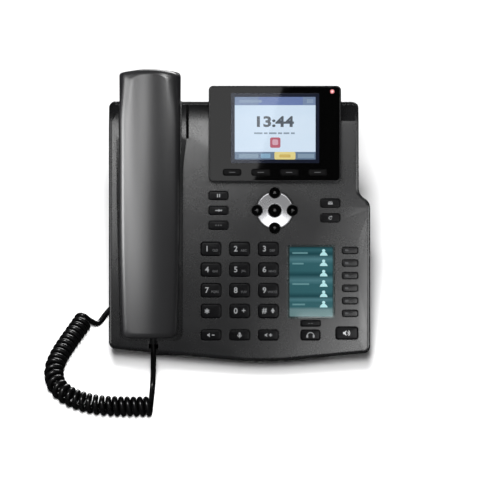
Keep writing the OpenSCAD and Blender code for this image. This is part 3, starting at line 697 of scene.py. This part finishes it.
def side_items():
    """Six people down the right and plain bars for some of their names."""
    shoulders = [(-2.8, -2.3), (2.8, -2.3), (2.3, -0.9), (1.0, 0.2), (-1.0, 0.2), (-2.3, -0.9)]
    head = [(x, y + 1.25) for x, y in circle(1.15, 12)]
    people_x, first_y, pitch = 9.0, 21.0, 7.4
    items = []
    for i in range(6):
        for level, shape in enumerate((shoulders, head)):
            moved_shape = [(x + people_x, y + first_y - pitch * i) for x, y in shape]
            items.append((poly(moved_shape), level, "person_white"))
    bar_x, half_bar = -13.4, 0.6
    for y, width in ((20.6, 11.0), (13.0, 8.0), (-1.6, 12.0), (-16.2, 9.0)):
        items.append((box2(bar_x, bar_x + width, y - half_bar, y + half_bar), 0, "row_ink"))
    return items


piece("main_lcd_picture", *picture("main_lcd", MAIN_INKS, main_items()), "base", "display", weighted=False)
piece("side_lcd_picture", *picture("side_lcd", SIDE_INKS, side_items()), "base", "side_display",
      weighted=False)


def lamp(name, node_name):
    """A small lit dome: nearly white in its middle and dark red at its rim."""
    mat, tree, where = new_material(name)
    centre = centre_of(node_name)
    across, up = (math_node(tree, "POWER", math_node(
        tree, "SUBTRACT", face_coord(tree, where, k), centre[k]), 2.0) for k in (0, 1))
    far = math_node(tree, "SQRT", math_node(tree, "ADD", across, up))
    far = math_node(tree, "ADD", far, spread(tree, noise(tree, where, 300, 2.0), -0.1, 0.1))
    shade = ramp(tree, far, [(0.35, srgb(255, 235, 235)), (0.8, srgb(225, 150, 160)),
                             (1.0, srgb(70, 18, 28))])
    output(tree, principled(tree, {"Base Color": (0.5, 0.1, 0.1, 1), "Roughness": 0.2,
                                   "Emission Color": shade, "Emission Strength": 0.8}))
    return mat


# ---------------------------------------------------------------- keys


FLANGE_OUT, FLANGE_T = 0.9, 1.2  # a key's retaining flange: how far it stands out and how thick it is


def cap(w, h, r, top, foot, flange, edge, dome):
    """A key: foot, retaining flange, straight sides, rounded rim and a slightly domed top."""
    shoulder = top - dome - edge
    rows = [(0.0, foot), (0.0, flange - FLANGE_T), (-FLANGE_OUT, flange - FLANGE_T), (-FLANGE_OUT, flange),
            (0.0, flange), (0.0, shoulder)]
    for k in range(1, 5):
        a = math.radians(90 * k / 4)
        rows.append((edge * (1 - math.cos(a)), shoulder + edge * math.sin(a)))
    loops = [[(x, y, z) for x, y in rounded(w - 2 * d, h - 2 * d, r - d * 0.8, 5)] for d, z in rows]
    rim = loops[-1]
    for t in (0.8, 0.55, 0.3, 0.1):
        loops.append([(x * t, y * t, top - dome * t * t) for x, y, _ in rim])
    return loft(loops)


def round_cap(r, top, foot, flange, crown):
    """A round key with the same flange and a top curved to the crown's radius."""
    rows = [(r, foot), (r, flange - FLANGE_T), (r + FLANGE_OUT, flange - FLANGE_T),
            (r + FLANGE_OUT, flange), (r, flange)]
    crowned = r - 0.5
    side = top - (crown - math.sqrt(crown * crown - crowned ** 2)) - 0.45
    rows += [(r, side), (r - 0.06, side + 0.2), (r - 0.2, side + 0.36)]
    for k in range(6):
        q = crowned * (1 - k / 6)
        rows.append((q, top - (crown - math.sqrt(crown * crown - q * q))))
    return loft([[(x, y, z) for x, y in circle(q, 40)] for q, z in rows])


def turned(points, angle, x=0.0, y=0.0):
    """Flat shape turned by an angle in degrees, then moved."""
    c, s = math.cos(math.radians(angle)), math.sin(math.radians(angle))
    return poly([(x + px * c - py * s, y + px * s + py * c) for px, py in points])


def speaker_sign(x, s, waves):
    """A loudspeaker of size s with some sound waves at its right."""
    side = [(-2.2, -0.8), (-1.2, -0.8), (0.2, -1.9), (0.2, 1.9), (-1.2, 0.8), (-2.2, 0.8)]
    out = [poly([(x + px * s, py * s) for px, py in side])]
    for k in range(waves):
        r = (1.1 + 1.0 * k) * s
        out.append(band(x + 0.2 * s, 0, r, r + 0.5 * s, -50, 50))
    return out


def arrow(x, y, s, angle):
    return turned([(s, 0), (-0.6 * s, s), (-0.6 * s, -s)], angle, x, y)


LETTERS = {"2": "ABC", "3": "DEF", "4": "GHI", "5": "JKL", "6": "MNO", "7": "PQRS", "8": "TUV", "9": "WXYZ"}


def dial_sign(sign):
    """A dial key's digit or sign, and the letters or small marks beside it."""
    if sign == "star":
        arm = [(-1.8, -0.35), (1.8, -0.35), (1.8, 0.35), (-1.8, 0.35)]
        return [turned(arm, 60 * k + 90, -2.8) for k in range(3)], []
    large = [glyphs("#" if sign == "hash" else sign, 5.6, -2.8, 0.2, heavy=0.1)]
    if sign == "0":
        return large + [box2(1.6, 4.2, 0.15, 0.75), box2(2.6, 3.2, -0.85, 1.75)], []
    if sign == "hash":
        return large + [arrow(3.2, 0.8, 1.5, 90), box2(2.6, 3.8, -1.4, 0.3)], []
    if sign == "1":
        reels = [band(x, -0.9, 0.55, 0.85, 0, 360, 16) for x in (1.9, 4.1)]
        return large, reels + [box2(1.9, 4.1, -1.75, -1.45)]
    return large, [glyphs(LETTERS[sign], 2.3, 2.9, -1.1, heavy=0.04)]


def key_signs():
    """What is printed on each key, about its middle: (ordinary print, fainter print)."""
    minus = box2(0.6, 2.6, -0.35, 0.35)
    plus = [box2(0.5, 2.7, -0.35, 0.35), box2(1.25, 1.95, -1.1, -0.35), box2(1.25, 1.95, 0.35, 1.1)]
    envelope = [poly([(-1.6, -1.0), (1.6, -1.0), (1.6, 0.6), (0, -0.4), (-1.6, 0.6)]),
                poly([(-1.6, 1.0), (0, 0.0), (1.6, 1.0)])]
    signs = {
        "volume_down_key": (speaker_sign(-0.9, 0.75, 0) + [minus], []),
        "volume_up_key": (speaker_sign(-0.9, 0.75, 0) + plus, []),
        "mute_key": ([pill(0, 0.5, 1.5, 2.8, 0.7, 5), band(0, 0.2, 1.25, 1.65, 180, 360),
                      box2(-0.2, 0.2, -2.2, -1.4)], []),
        "hold_key": ([box2(-1.1, -0.35, -1.2, 1.2), box2(0.35, 1.1, -1.2, 1.2)], []),
        "transfer_key": ([box2(-2.4, -0.1, -0.35, 0.35), arrow(0.6, 0, 1.1, 0),
                          band(2.0, 0, 0.0, 0.6, 0, 360, 12)], []),
        "conference_key": ([], [poly([(px + x, py) for px, py in circle(0.55, 12)]) for x in (-1.8, 0, 1.8)]),
        "message_key": (envelope, []),
        "redial_key": ([band(0, 0, 0.8, 1.25, 60, 330), arrow(0.9, 0.85, 0.7, -30)], []),
        "headset_key": ([band(0, -0.6, 2.1, 2.7, 10, 170)]
                        + [pill(x, -0.9, 1.3, 2.1, 0.5) for x in (-2.3, 2.3)], []),
        "speaker_key": (speaker_sign(-0.5, 1.0, 2), []),
        "page_key": ([], [box2(-1.8, -0.3, -0.3, 0.3), box2(0.3, 1.8, -0.3, 0.3)]),
        "nav_ok": ([], []),
    }
    for name, angle in (("nav_right", 0), ("nav_up", 90), ("nav_left", 180), ("nav_down", 270)):
        signs[name] = [arrow(0, 0, 1.15, angle)], []
    for name in nodes:
        if name.startswith("key_"):
            signs[name] = dial_sign(name[4:])
        if name.startswith("line_key"):
            signs[name] = [], [pill(-2.4, 0, 2.4, 1.4, 0.5)]
        if name.startswith("soft_key"):
            signs[name] = [], [pill(0, 0, 4.6, 0.5, 0.2, 3)]
    return signs


PRINT_UP, PRINT_DOWN = 0.035, 0.03  # how far a print stands out of a key and reaches into it
CROWN = 9.0  # radius of the tops of the round keys


def round_key(w, lo, hi):
    """A round key's skin, and the height of its top at a point about its middle."""
    skin = round_cap(w / 2, hi.z, lo.z, lo.z + 2.0, CROWN)
    return skin, lambda x, y: hi.z - (CROWN - math.sqrt(max(1.0, CROWN * CROWN - x * x - y * y)))


def square_key(w, h, lo, hi, soft):
    """The same for a key with corners; soft keys are flatter."""
    corner = 2.2 if h > 9 else (1.9 if h > 7 else 1.5)
    dome, edge = (0.05, 0.4) if soft else ((0.2, 0.8) if h > 6.5 else (0.12, 0.55))
    skin = cap(w, h, corner, hi.z, lo.z, lo.z + (1.5 if soft else 2.0), edge, dome)
    half_w, half_h = w / 2 - edge, h / 2 - edge
    return skin, lambda x, y: hi.z - dome * min(1.0, max(abs(x) / half_w, abs(y) / half_h)) ** 2


def printed(flat, top, index):
    """A print on a key, a little proud of its top and a little sunk in."""
    return thick(flat, lambda x, y: top(x, y) - PRINT_DOWN, lambda x, y: top(x, y) + PRINT_UP, index)


def build_keys():
    kinds = {"nav_": (nav_black, "nav_key"), "soft": (soft_black, "soft_key"), "line": (line_black, "key")}
    for name, prints in sorted(key_signs().items()):
        lo, hi = face_box(name)
        c = (lo + hi) / 2
        w, h = hi.x - lo.x - 2 * FLANGE_OUT, hi.y - lo.y - 2 * FLANGE_OUT
        is_round = name.startswith("nav_")
        look, slot = kinds.get(name[:4], (key_black, "key"))
        skin, top = round_key(w, lo, hi) if is_round else square_key(w, h, lo, hi, name.startswith("soft"))
        parts = [skin]
        for index, flats in enumerate(prints, 1):
            parts += [printed(flat, top, index) for flat in flats]
        mesh = mesh_of([moved(part, c.x, c.y) for part in parts])
        strong = bright_ink if is_round or name == "speaker_key" else ink
        piece(name + "_cap", mesh, [look, strong, faint_ink], name, slot, name)


build_keys()


def nav_ring():
    """The silver ring: a dished plate with a raised rim, cut away round the four keys."""
    c = centre_of("nav_ring")
    lo, hi = face_box("nav_ring")
    top, r, hole = hi.z, (hi.x - lo.x) / 2, 4.9
    dish = [(0, 0.5), (0.12, 0.2), (0.4, 0.03), (0.8, 0), (1.2, 0.06), (1.6, 0.16), (3.0, 0.42), (4.6, 0.74),
            (6.2, 1.06), (7.6, 1.32), (8.2, 1.36), (8.7, 1.3)]
    profile = [(hole, lo.z), (r, lo.z)] + [(r - inward, top - down) for inward, down in dish]
    profile.append((hole, top - 1.4))
    loops = [[(x, y, z) for x, y in circle(q, 120)] for q, z in profile]
    solid = mesh_of([moved(loft(loops, closed=True), c.x, c.y)])
    seat = ((4.25, -4), (4.25, top - 0.5), (4.55, top + 0.2), (4.55, 4))  # radius and height of a key's seat
    cutters = []
    for name in ("nav_up", "nav_left", "nav_down", "nav_right"):
        k = centre_of(name)
        seat_rings = [[(x, y, z) for x, y in circle(q, 64)] for q, z in seat]
        cutters.append(mesh_of([moved(loft(seat_rings), k.x, k.y)]))
    return carve(solid, cutters)


piece("nav_ring_plate", nav_ring(), silver, "base", "silver_paint", "nav_ring")

# ---------------------------------------------------------------- handset

hand_lo, hand_hi = face_box("handset_front_shell")
HAND_X = (hand_lo.x + hand_hi.x) / 2
HAND_Y0, HAND_Y1 = hand_lo.y, hand_hi.y
SHELL_PART, HAND_TOP = (corner.z for corner in face_box("handset_back_shell"))
HAND_HALF = (hand_hi.x - hand_lo.x) / 2
MID_HALF = 21.4  # half width where the handset is widest, 100 mm up from its lower end
BOW_R, CROWN_R = 1150, 46  # the back's curve along the handset and across it
CORNER_R, END_R = 5.0, 3.0  # corners at the lower end and at the top
END_BOW = 0.35


def half_width(y):
    t = (y - HAND_Y0 - 100) / 100
    return MID_HALF - (2.5 if t < 0 else -0.5) * t * t


def plan(d):
    """Right half of the outline, set in by d, from the middle of its lower end to the middle of its top."""
    r = max(CORNER_R - d / 2, 0.6)
    low, high = half_width(HAND_Y0 + r) - d, half_width(HAND_Y1 - 4) - d
    out = [((low - r) * i / 5, HAND_Y0 + d + END_BOW * (i / 5) ** 2) for i in range(5)]
    for i in range(7):
        a = math.radians(270 + 90 * i / 6)
        out.append((low - r + r * math.cos(a), HAND_Y0 + d + END_BOW + r + r * math.sin(a)))
    y_low, y_high = HAND_Y0 + d + r + 1.0, HAND_Y1 - 6.0 - d
    for i in range(1, 46):
        y = y_low + (y_high - y_low) * i / 45
        out.append((half_width(y) - d, y))
    for i in range(1, 7):
        a = math.radians(78 * i / 6)
        out.append((high - END_R + END_R * math.cos(a), HAND_Y1 - 2.4 - d - END_R + END_R * math.sin(a)))
    x_end, y_end = out[-1]
    for i in range(1, 9):
        x = x_end * (1 - i / 8)
        out.append((x, y_end + (HAND_Y1 - d - y_end) * (1 - (x / x_end) ** 2)))
    return out


def back_height(x, y, inset=0.0):
    """Height of the handset's crowned and bowed back."""
    bow = BOW_R - math.sqrt(BOW_R ** 2 - (y - (HAND_Y0 + HAND_Y1) / 2) ** 2)
    crown = CROWN_R - math.sqrt(CROWN_R ** 2 - min(abs(x), 40) ** 2)
    return HAND_TOP - bow - crown - inset


def draft(y):
    """How far the back's rim leans in over the ear end."""
    t = min(1.0, max(0.0, (y - (HAND_Y1 - 40)) / 38))
    return 2.3 * t * t * (3 - 2 * t)


def back_loops(inset, radius):
    """Half loops from the parting plane over the rounded rim to the spine."""
    base = plan(inset)
    loops = [[(x, y, SHELL_PART) for x, y in base]]
    for share in (0.25, 0.5, 0.75, 1.0):
        loop = []
        for x, y in base:
            rim = back_height(x, y, inset) - radius * 0.9
            lean = draft(y) * share * (x / HAND_HALF) ** 3
            loop.append((x - lean, y, SHELL_PART + (rim - SHELL_PART) * share))
        loops.append(loop)
    for k in range(1, 7):
        a = math.radians(90 * k / 6)
        d = inset + radius * (1 - math.cos(a))
        loop = []
        for (x, y), (bx, by) in zip(plan(d), base):
            lean = draft(y) * (bx / HAND_HALF) ** 3
            rim = back_height(bx, by, inset) - radius * 0.9
            full = back_height(x, y, inset)
            loop.append((x - lean, y, rim + (full - rim) * math.sin(a)))
        loops.append(loop)
    edge = loops[-1]
    for s in (0.86, 0.7, 0.52, 0.34, 0.17):
        loops.append([(x * s, y, back_height(x * s, y, inset)) for x, y, _ in edge])
    loops.append([(0.0, y, back_height(0.0, y, inset)) for x, y, _ in edge])
    return loops


def mirrored_surface(loops):
    """A surface from half loops, joined to its mirror image across x = 0."""
    n, verts, faces = len(loops[0]), [], []
    for side in (1, -1):
        base = len(verts)
        verts += [(HAND_X + side * x, y, z) for loop in loops for x, y, z in loop]
        for i in range(len(loops) - 1):
            for k in range(n - 1):
                a, b = base + i * n + k, base + (i + 1) * n + k
                quad = (a, a + 1, b + 1, b)
                faces.append(quad if side == 1 else quad[::-1])
    return verts, faces


def handset_back():
    """The handset's back shell, 2 mm thick; its side walls get a darker, duller look than its back, as
    painted shade.
    """
    outer = mirrored_surface(back_loops(0.0, 3.6))
    inner = mirrored_surface(back_loops(2.0, 2.6))
    verts = outer[0] + inner[0]
    base = len(outer[0])
    half_outer, half_inner = len(outer[0]) // 2, len(inner[0]) // 2
    faces = list(outer[1]) + [tuple(base + i for i in reversed(f)) for f in inner[1]]
    for k in range(len(plan(0)) - 1):
        faces.append((k, base + k, base + k + 1, k + 1))
        faces.append((half_outer + k, half_outer + k + 1, base + half_inner + k + 1, base + half_inner + k))
    mesh = cleaned(mesh_of([(verts, faces)]), weld=2e-3, sliver=1e-4)
    # faces that stand upright take the darker look, as painted shade on the side walls
    for face in mesh.polygons:
        face.material_index = int(abs(face.normal.z) < 0.45)
    return mesh


piece("handset_back", handset_back(), [handset_grey, handset_painted_shade], "handset", "handset",
      "handset_back_shell", smooth=50, weighted=False)

# ---------------------------------------------------------------- cord

FACE_AT = Vector([c * 1000 for c in FACE.translation])
SIN, COS = -OUT.y, OUT.z


def on_desk(u, v, h):
    """The point at height h over the desk that lies square behind (u, v) on the face, in row millimetres."""
    return np.array([u, (v - (h - FACE_AT.z) * SIN) / COS + FACE_AT.y, h])


def on_row(x, y, z):
    """A point of the face frame in row millimetres."""
    return np.array((FACE @ Vector((x, y, z))) * 1000)


def spline(p, n):
    """A smooth curve through the points, with n steps between each two."""
    out = []
    for i in range(len(p) - 1):
        a, b, c, d = p[max(i - 1, 0)], p[i], p[i + 1], p[min(i + 2, len(p) - 1)]
        for j in range(n):
            t = j / n
            out.append(b + t * (c - a) / 2 + t * t * (2 * a - 5 * b + 4 * c - d) / 2
                       + t ** 3 * (3 * b - a - 3 * c + d) / 2)
    return out + [p[-1]]


CORD_R = 1.95
COIL_R = 7.2 - CORD_R
COIL_H = 7.5  # of the coil's axis over the desk
TURNS, STEPS = 28.5, 22  # turns of the coil and points to a turn
AXIS = [on_desk(u, v, COIL_H) for u, v in
        ((-113, 28.4), (-119.3, 19.2), (-125.8, 9.8), (-131, 0.6), (-133.3, -8), (-130.9, -17.3),
         (-123.2, -24.2), (-111.5, -28.9), (-97.5, -31.5), (-80.5, -32.2), (-63.9, -32.2))]
axis_curve = np.array(spline(AXIS, 12))
axis_way = np.array([axis_curve[min(i + 1, len(axis_curve) - 1)] - axis_curve[max(i - 1, 0)]
                     for i in range(len(axis_curve))])
axis_way /= np.linalg.norm(axis_way, axis=1)[:, None]
inner_curve = axis_curve + COIL_R * np.cross([0, 0, 1], axis_way)  # turns are evenly spaced along it
axis_run = np.concatenate([[0], np.cumsum(np.linalg.norm(np.diff(inner_curve, axis=0), axis=1))])


def on_axis(t):
    s = min(max(t, 0.0), 1.0) * axis_run[-1]
    return np.array([np.interp(s, axis_run, axis_curve[:, k]) for k in range(3)])


def coil_point(t):
    along = on_axis(t + 0.01) - on_axis(t - 0.01)
    along /= np.linalg.norm(along)
    side = np.cross([0, 0, 1], along)
    turn = math.radians(90 + 360 * TURNS * t)
    return on_axis(t) + COIL_R * (math.cos(turn) * side + math.sin(turn) * np.array([0, 0, 1]))


SOCKET = (-24.0, 99.0, -15.4)  # the handset socket's mouth, behind the face
PLUG_Z = -3.0
CORD_X = HAND_X + 2.2
base_lead = [on_row(*SOCKET), on_row(SOCKET[0], SOCKET[1] - 9, SOCKET[2] - 1.5), on_row(-26.5, 80, -27),
             on_row(-36, 69, -41), on_desk(-66, 50, 9), on_desk(-86, 43.5, 3), on_desk(-96.5, 33.5, 2.5),
             on_desk(-102.5, 26.2, 2.4), on_desk(-107.6, 27.6, 7)]
hand_lead = [on_desk(-62.4, -18, 3.6), on_row(CORD_X - 0.2, -6, -10.5), on_row(CORD_X, 3, -4.6),
             on_row(CORD_X, 10, PLUG_Z), on_row(CORD_X, HAND_Y0 + 1, PLUG_Z)]
coil_n = int(STEPS * TURNS)
coil = [coil_point(i / coil_n) for i in range(coil_n + 1)]
start_part = spline(base_lead + [coil[0]], 10)[:-1]
end_part = spline([coil[-1]] + hand_lead, 10)[1:]
cord_line = np.array(start_part + coil + end_part)
half = len(start_part) + coil_n // 2


def sweep(line, radius, sides):
    """Round tube along a line of points, in frames that don't twist."""
    tangents = np.gradient(line, axis=0)
    tangents /= np.linalg.norm(tangents, axis=1)[:, None]
    angles = [2 * math.pi * k / sides for k in range(sides)]
    u = np.cross(tangents[0], [1, 0.2, 0.1])
    rings = []
    for p, t in zip(line, tangents):
        u = u - (u @ t) * t
        u /= np.linalg.norm(u)
        v = np.cross(t, u)
        rings.append([tuple(p + radius * (math.cos(a) * u + math.sin(a) * v)) for a in angles])
    return rings


all_rings = sweep(cord_line, CORD_R, 12)
ROW_MM = Matrix.Scale(0.001, 4)
piece("cord_base_half", mesh_of([loft(all_rings[:half + 1])]), cord_black, "base", "cord",
      "coiled_cord", space=ROW_MM, smooth=60, weighted=False)
cord_hand = piece("cord_handset_half", mesh_of([loft(all_rings[half:])]), cord_black, None, "cord",
                  space=ROW_MM, smooth=60, weighted=False)
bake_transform(cord_hand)


def modular_plug(x, y, z):
    """A cord's plug with chamfered ends, and the boot that the cord leaves it by."""
    w, length, depth = 7.5, 12.5, 6.2
    body = [[(px + x, y + t, pz + z) for px, pz in rounded(w - 2 * inset, depth - 2 * inset, 0.7, 3)]
            for t, inset in ((0.0, 0.35), (0.4, 0.0), (length - 0.8, 0.0), (length, 0.5))]
    boot = [[(px + x, y - 5 + t, pz + z) for px, pz in circle(r, 28)]
            for t, r in ((0, 2.05), (0.3, 2.2), (2.4, 2.4), (5.4, 2.8))]
    return mesh_of([loft(body), loft(boot)])


piece("cord_plug_base", modular_plug(SOCKET[0], SOCKET[1] - 0.5, SOCKET[2]), clear_plug, "base", "cord")
piece("cord_plug_handset", modular_plug(CORD_X, HAND_Y0 + 0.6, PLUG_Z), clear_plug, "handset", "cord")

# ---------------------------------------------------------------- CAD nodes shown as they are

AS_BUILT = {
    "screen_lens": screen_glass, "main_lcd": main_display, "side_window": side_glass,
    "side_lcd": side_display, "keypad_mat": silicone, "main_board": board, "loudspeaker": cone,
    "status_led": lamp("led", "status_led"), "housing_screws": steel, "front_foot": rubber,
    # the handset's inner shell takes the darker handset look, as painted shade on the handset's side
    "hook_plunger": plunger, "handset_front_shell": handset_painted_shade, "earpiece_capsule": capsule,
    "handset_board": mouth_board, "stand": stand_black, "stand_feet": rubber,
}
for name, look in AS_BUILT.items():
    nodes[name].data.materials.clear()
    nodes[name].data.materials.append(look)
    nodes[name].data.shade_smooth()

# ---------------------------------------------------------------- floor, light and camera


def floor_look():
    mat, tree, where = new_material("floor")
    patches = noise(tree, where, 3.0, 3.0)
    shade = ramp(tree, patches, [(0.3, (0.90, 0.90, 0.905, 1)), (0.7, (0.94, 0.94, 0.94, 1))])
    bump = node(tree, "ShaderNodeBump", {"Height": noise(tree, where, 220, 3.0), "Strength": 0.05,
                                         "Distance": 0.0005}).outputs[0]
    output(tree, principled(tree, {"Base Color": shade, "Roughness": 0.8, "Normal": bump,
                                   "Specular IOR Level": 0.2}))
    return mat


FLOOR_HALF = 6
floor_mesh = bpy.data.meshes.new("floor")
floor_mesh.from_pydata([(x * FLOOR_HALF, y * FLOOR_HALF, 0) for x, y in ((-1, -1), (1, -1), (1, 1), (-1, 1))],
                       [], [(0, 1, 2, 3)])
floor_mesh.materials.append(floor_look())
floor = placed("floor", floor_mesh)
floor.visible_glossy = False  # its white would draw a bright line along every lower edge


def softbox(name, at, aim, w, h, power, parts, turn=0.0):
    """A rectangular light on some parts only; places are on the face frame in mm, its sides in metres."""
    data = bpy.data.lights.new(name, "AREA")
    data.shape, data.size, data.size_y, data.energy = "RECTANGLE", w, h, power
    obj = placed(name, data)
    start, end = FACE @ Vector(at), FACE @ Vector(aim)
    facing = (end - start).normalized()
    side = facing.cross(UP).normalized()
    top = side.cross(facing)
    basis = Matrix((side, top, -facing)).transposed() @ Matrix.Rotation(math.radians(turn), 3, "Z")
    obj.matrix_world = Matrix.Translation(start) @ basis.to_4x4()
    obj.light_linking.receiver_collection = parts
    if parts is on_body:
        obj.light_linking.blocker_collection = parts  # the handset leaves its edge of the face lit
    obj.visible_camera = False


def light_group(name, objs):
    group = bpy.data.collections.new(name)
    for obj in objs:
        group.objects.link(obj)
    return group


def named(*starts):
    return [o for o in shown if o.name.startswith(starts)]


shown = [o for o in scene.objects if o.type == "MESH" and o is not floor]
handset_parts = named("handset", "earpiece")
glass_parts = [nodes["screen_lens"]]
ring_parts, cord_parts = named("nav_ring"), named("cord_")
nav_parts = [o for o in named("nav_") if o not in ring_parts]
lit_apart = handset_parts + glass_parts + ring_parts + nav_parts + cord_parts
on_handset, on_glass = light_group("on_handset", handset_parts), light_group("on_glass", glass_parts)
on_ring, on_nav = light_group("on_ring", ring_parts), light_group("on_nav", nav_parts)
on_cord, on_floor = light_group("on_cord", cord_parts), light_group("on_floor", [floor])
on_body = light_group("on_body", [o for o in shown if o not in lit_apart])
on_shell = light_group("on_shell", named("front_housing_shell"))

# Square softboxes, by the parts that they light: place in mm on the face frame, side in metres, power.
LIGHTS = {
    on_handset: [((-460, 80, 450), 0.16, 0.5), ((-460, 250, 450), 0.16, 1.9), ((-300, 80, 450), 0.16, 0.6),
                 ((-160, 250, 450), 0.16, 0.8), ((-160, 60, 450), 0.16, 0.3), ((-620, 120, 180), 0.22, 1.4),
                 ((-420, 160, 120), 0.22, 1.9), ((280, 420, 450), 0.16, 2.6)],
    on_ring: [((20, 330, 450), 0.35, 0.8), ((20, 90, 600), 0.9, 0.9)],
    on_nav: [((24, 150, 500), 0.12, 0.12)],
    on_body: [((-140, 140, 320), 0.12, 0.22), ((-140, 220, 320), 0.12, 0.13), ((-60, 220, 320), 0.12, 0.24),
              ((-60, 140, 320), 0.12, 0.03), ((20, 220, 320), 0.12, 0.24), ((-60, 300, 320), 0.12, 0.07),
              ((90, -20, 300), 0.1, 0.12), ((150, -20, 300), 0.1, 0.18), ((150, 60, 300), 0.1, 0.22),
              ((190, 260, 320), 0.12, 0.14)],
    on_shell: [((-650, 60, 330), 0.35, 1.6), ((650, 60, 330), 0.35, 2.6)],
    on_cord: [((-500, 620, 900), 0.16, 11), ((-60, -60, 900), 0.6, 0.5)],
    on_floor: [((-50, 90, 1500), 0.15, 2), ((-50, 240, 1500), 0.2, 7.5), ((-80, 400, 1500), 0.3, 7.5),
               ((-100, 820, 1500), 0.4, 27), ((80, 350, 1500), 0.3, 5)],
}
for group, boxes in LIGHTS.items():
    aim = (0, 60 if group is on_floor else 90, 0)
    for i, (at, side, power) in enumerate(boxes, 1):
        softbox(f"{group.name}_{i}", at, aim, side, side, power, group)
# A tall card whose reflection ends in a slanting edge across the screen's glass, and a light behind.
softbox("card_light", (-176, 240, 600), (-176, 240, 0), 0.42, 0.5, 0.8, on_glass, turn=-17)
softbox("back_light", (150, 700, -420), (0, 90, -60), 0.6, 0.6, 14, light_group("on_object", shown))

world = bpy.data.worlds.new("studio")
scene.world = world
world.use_nodes = True
world.node_tree.nodes["Background"].inputs[0].default_value = (1, 1, 1, 1)
world.node_tree.nodes["Background"].inputs[1].default_value = 0.03

DISTANCE, FIELD = 3000.0, 343.0  # camera to face, and the width that it sees there
AIM_X, AIM_Y = 0.36, 86.5
camera_data = bpy.data.cameras.new("camera")
camera_data.type = "PERSP"
camera_data.sensor_width = 36
camera_data.lens = camera_data.sensor_width * DISTANCE / FIELD
camera_data.clip_start, camera_data.clip_end = 0.1, 50
camera = placed("camera", camera_data)
camera.matrix_world = (Matrix.Translation(FACE @ Vector((AIM_X, AIM_Y, DISTANCE)))
                       @ Matrix((RIGHT, UP, OUT)).transposed().to_4x4())
scene.camera = camera

scene.view_settings.view_transform = "Standard"
scene.view_settings.look = "None"
scene.view_settings.exposure = 0.0
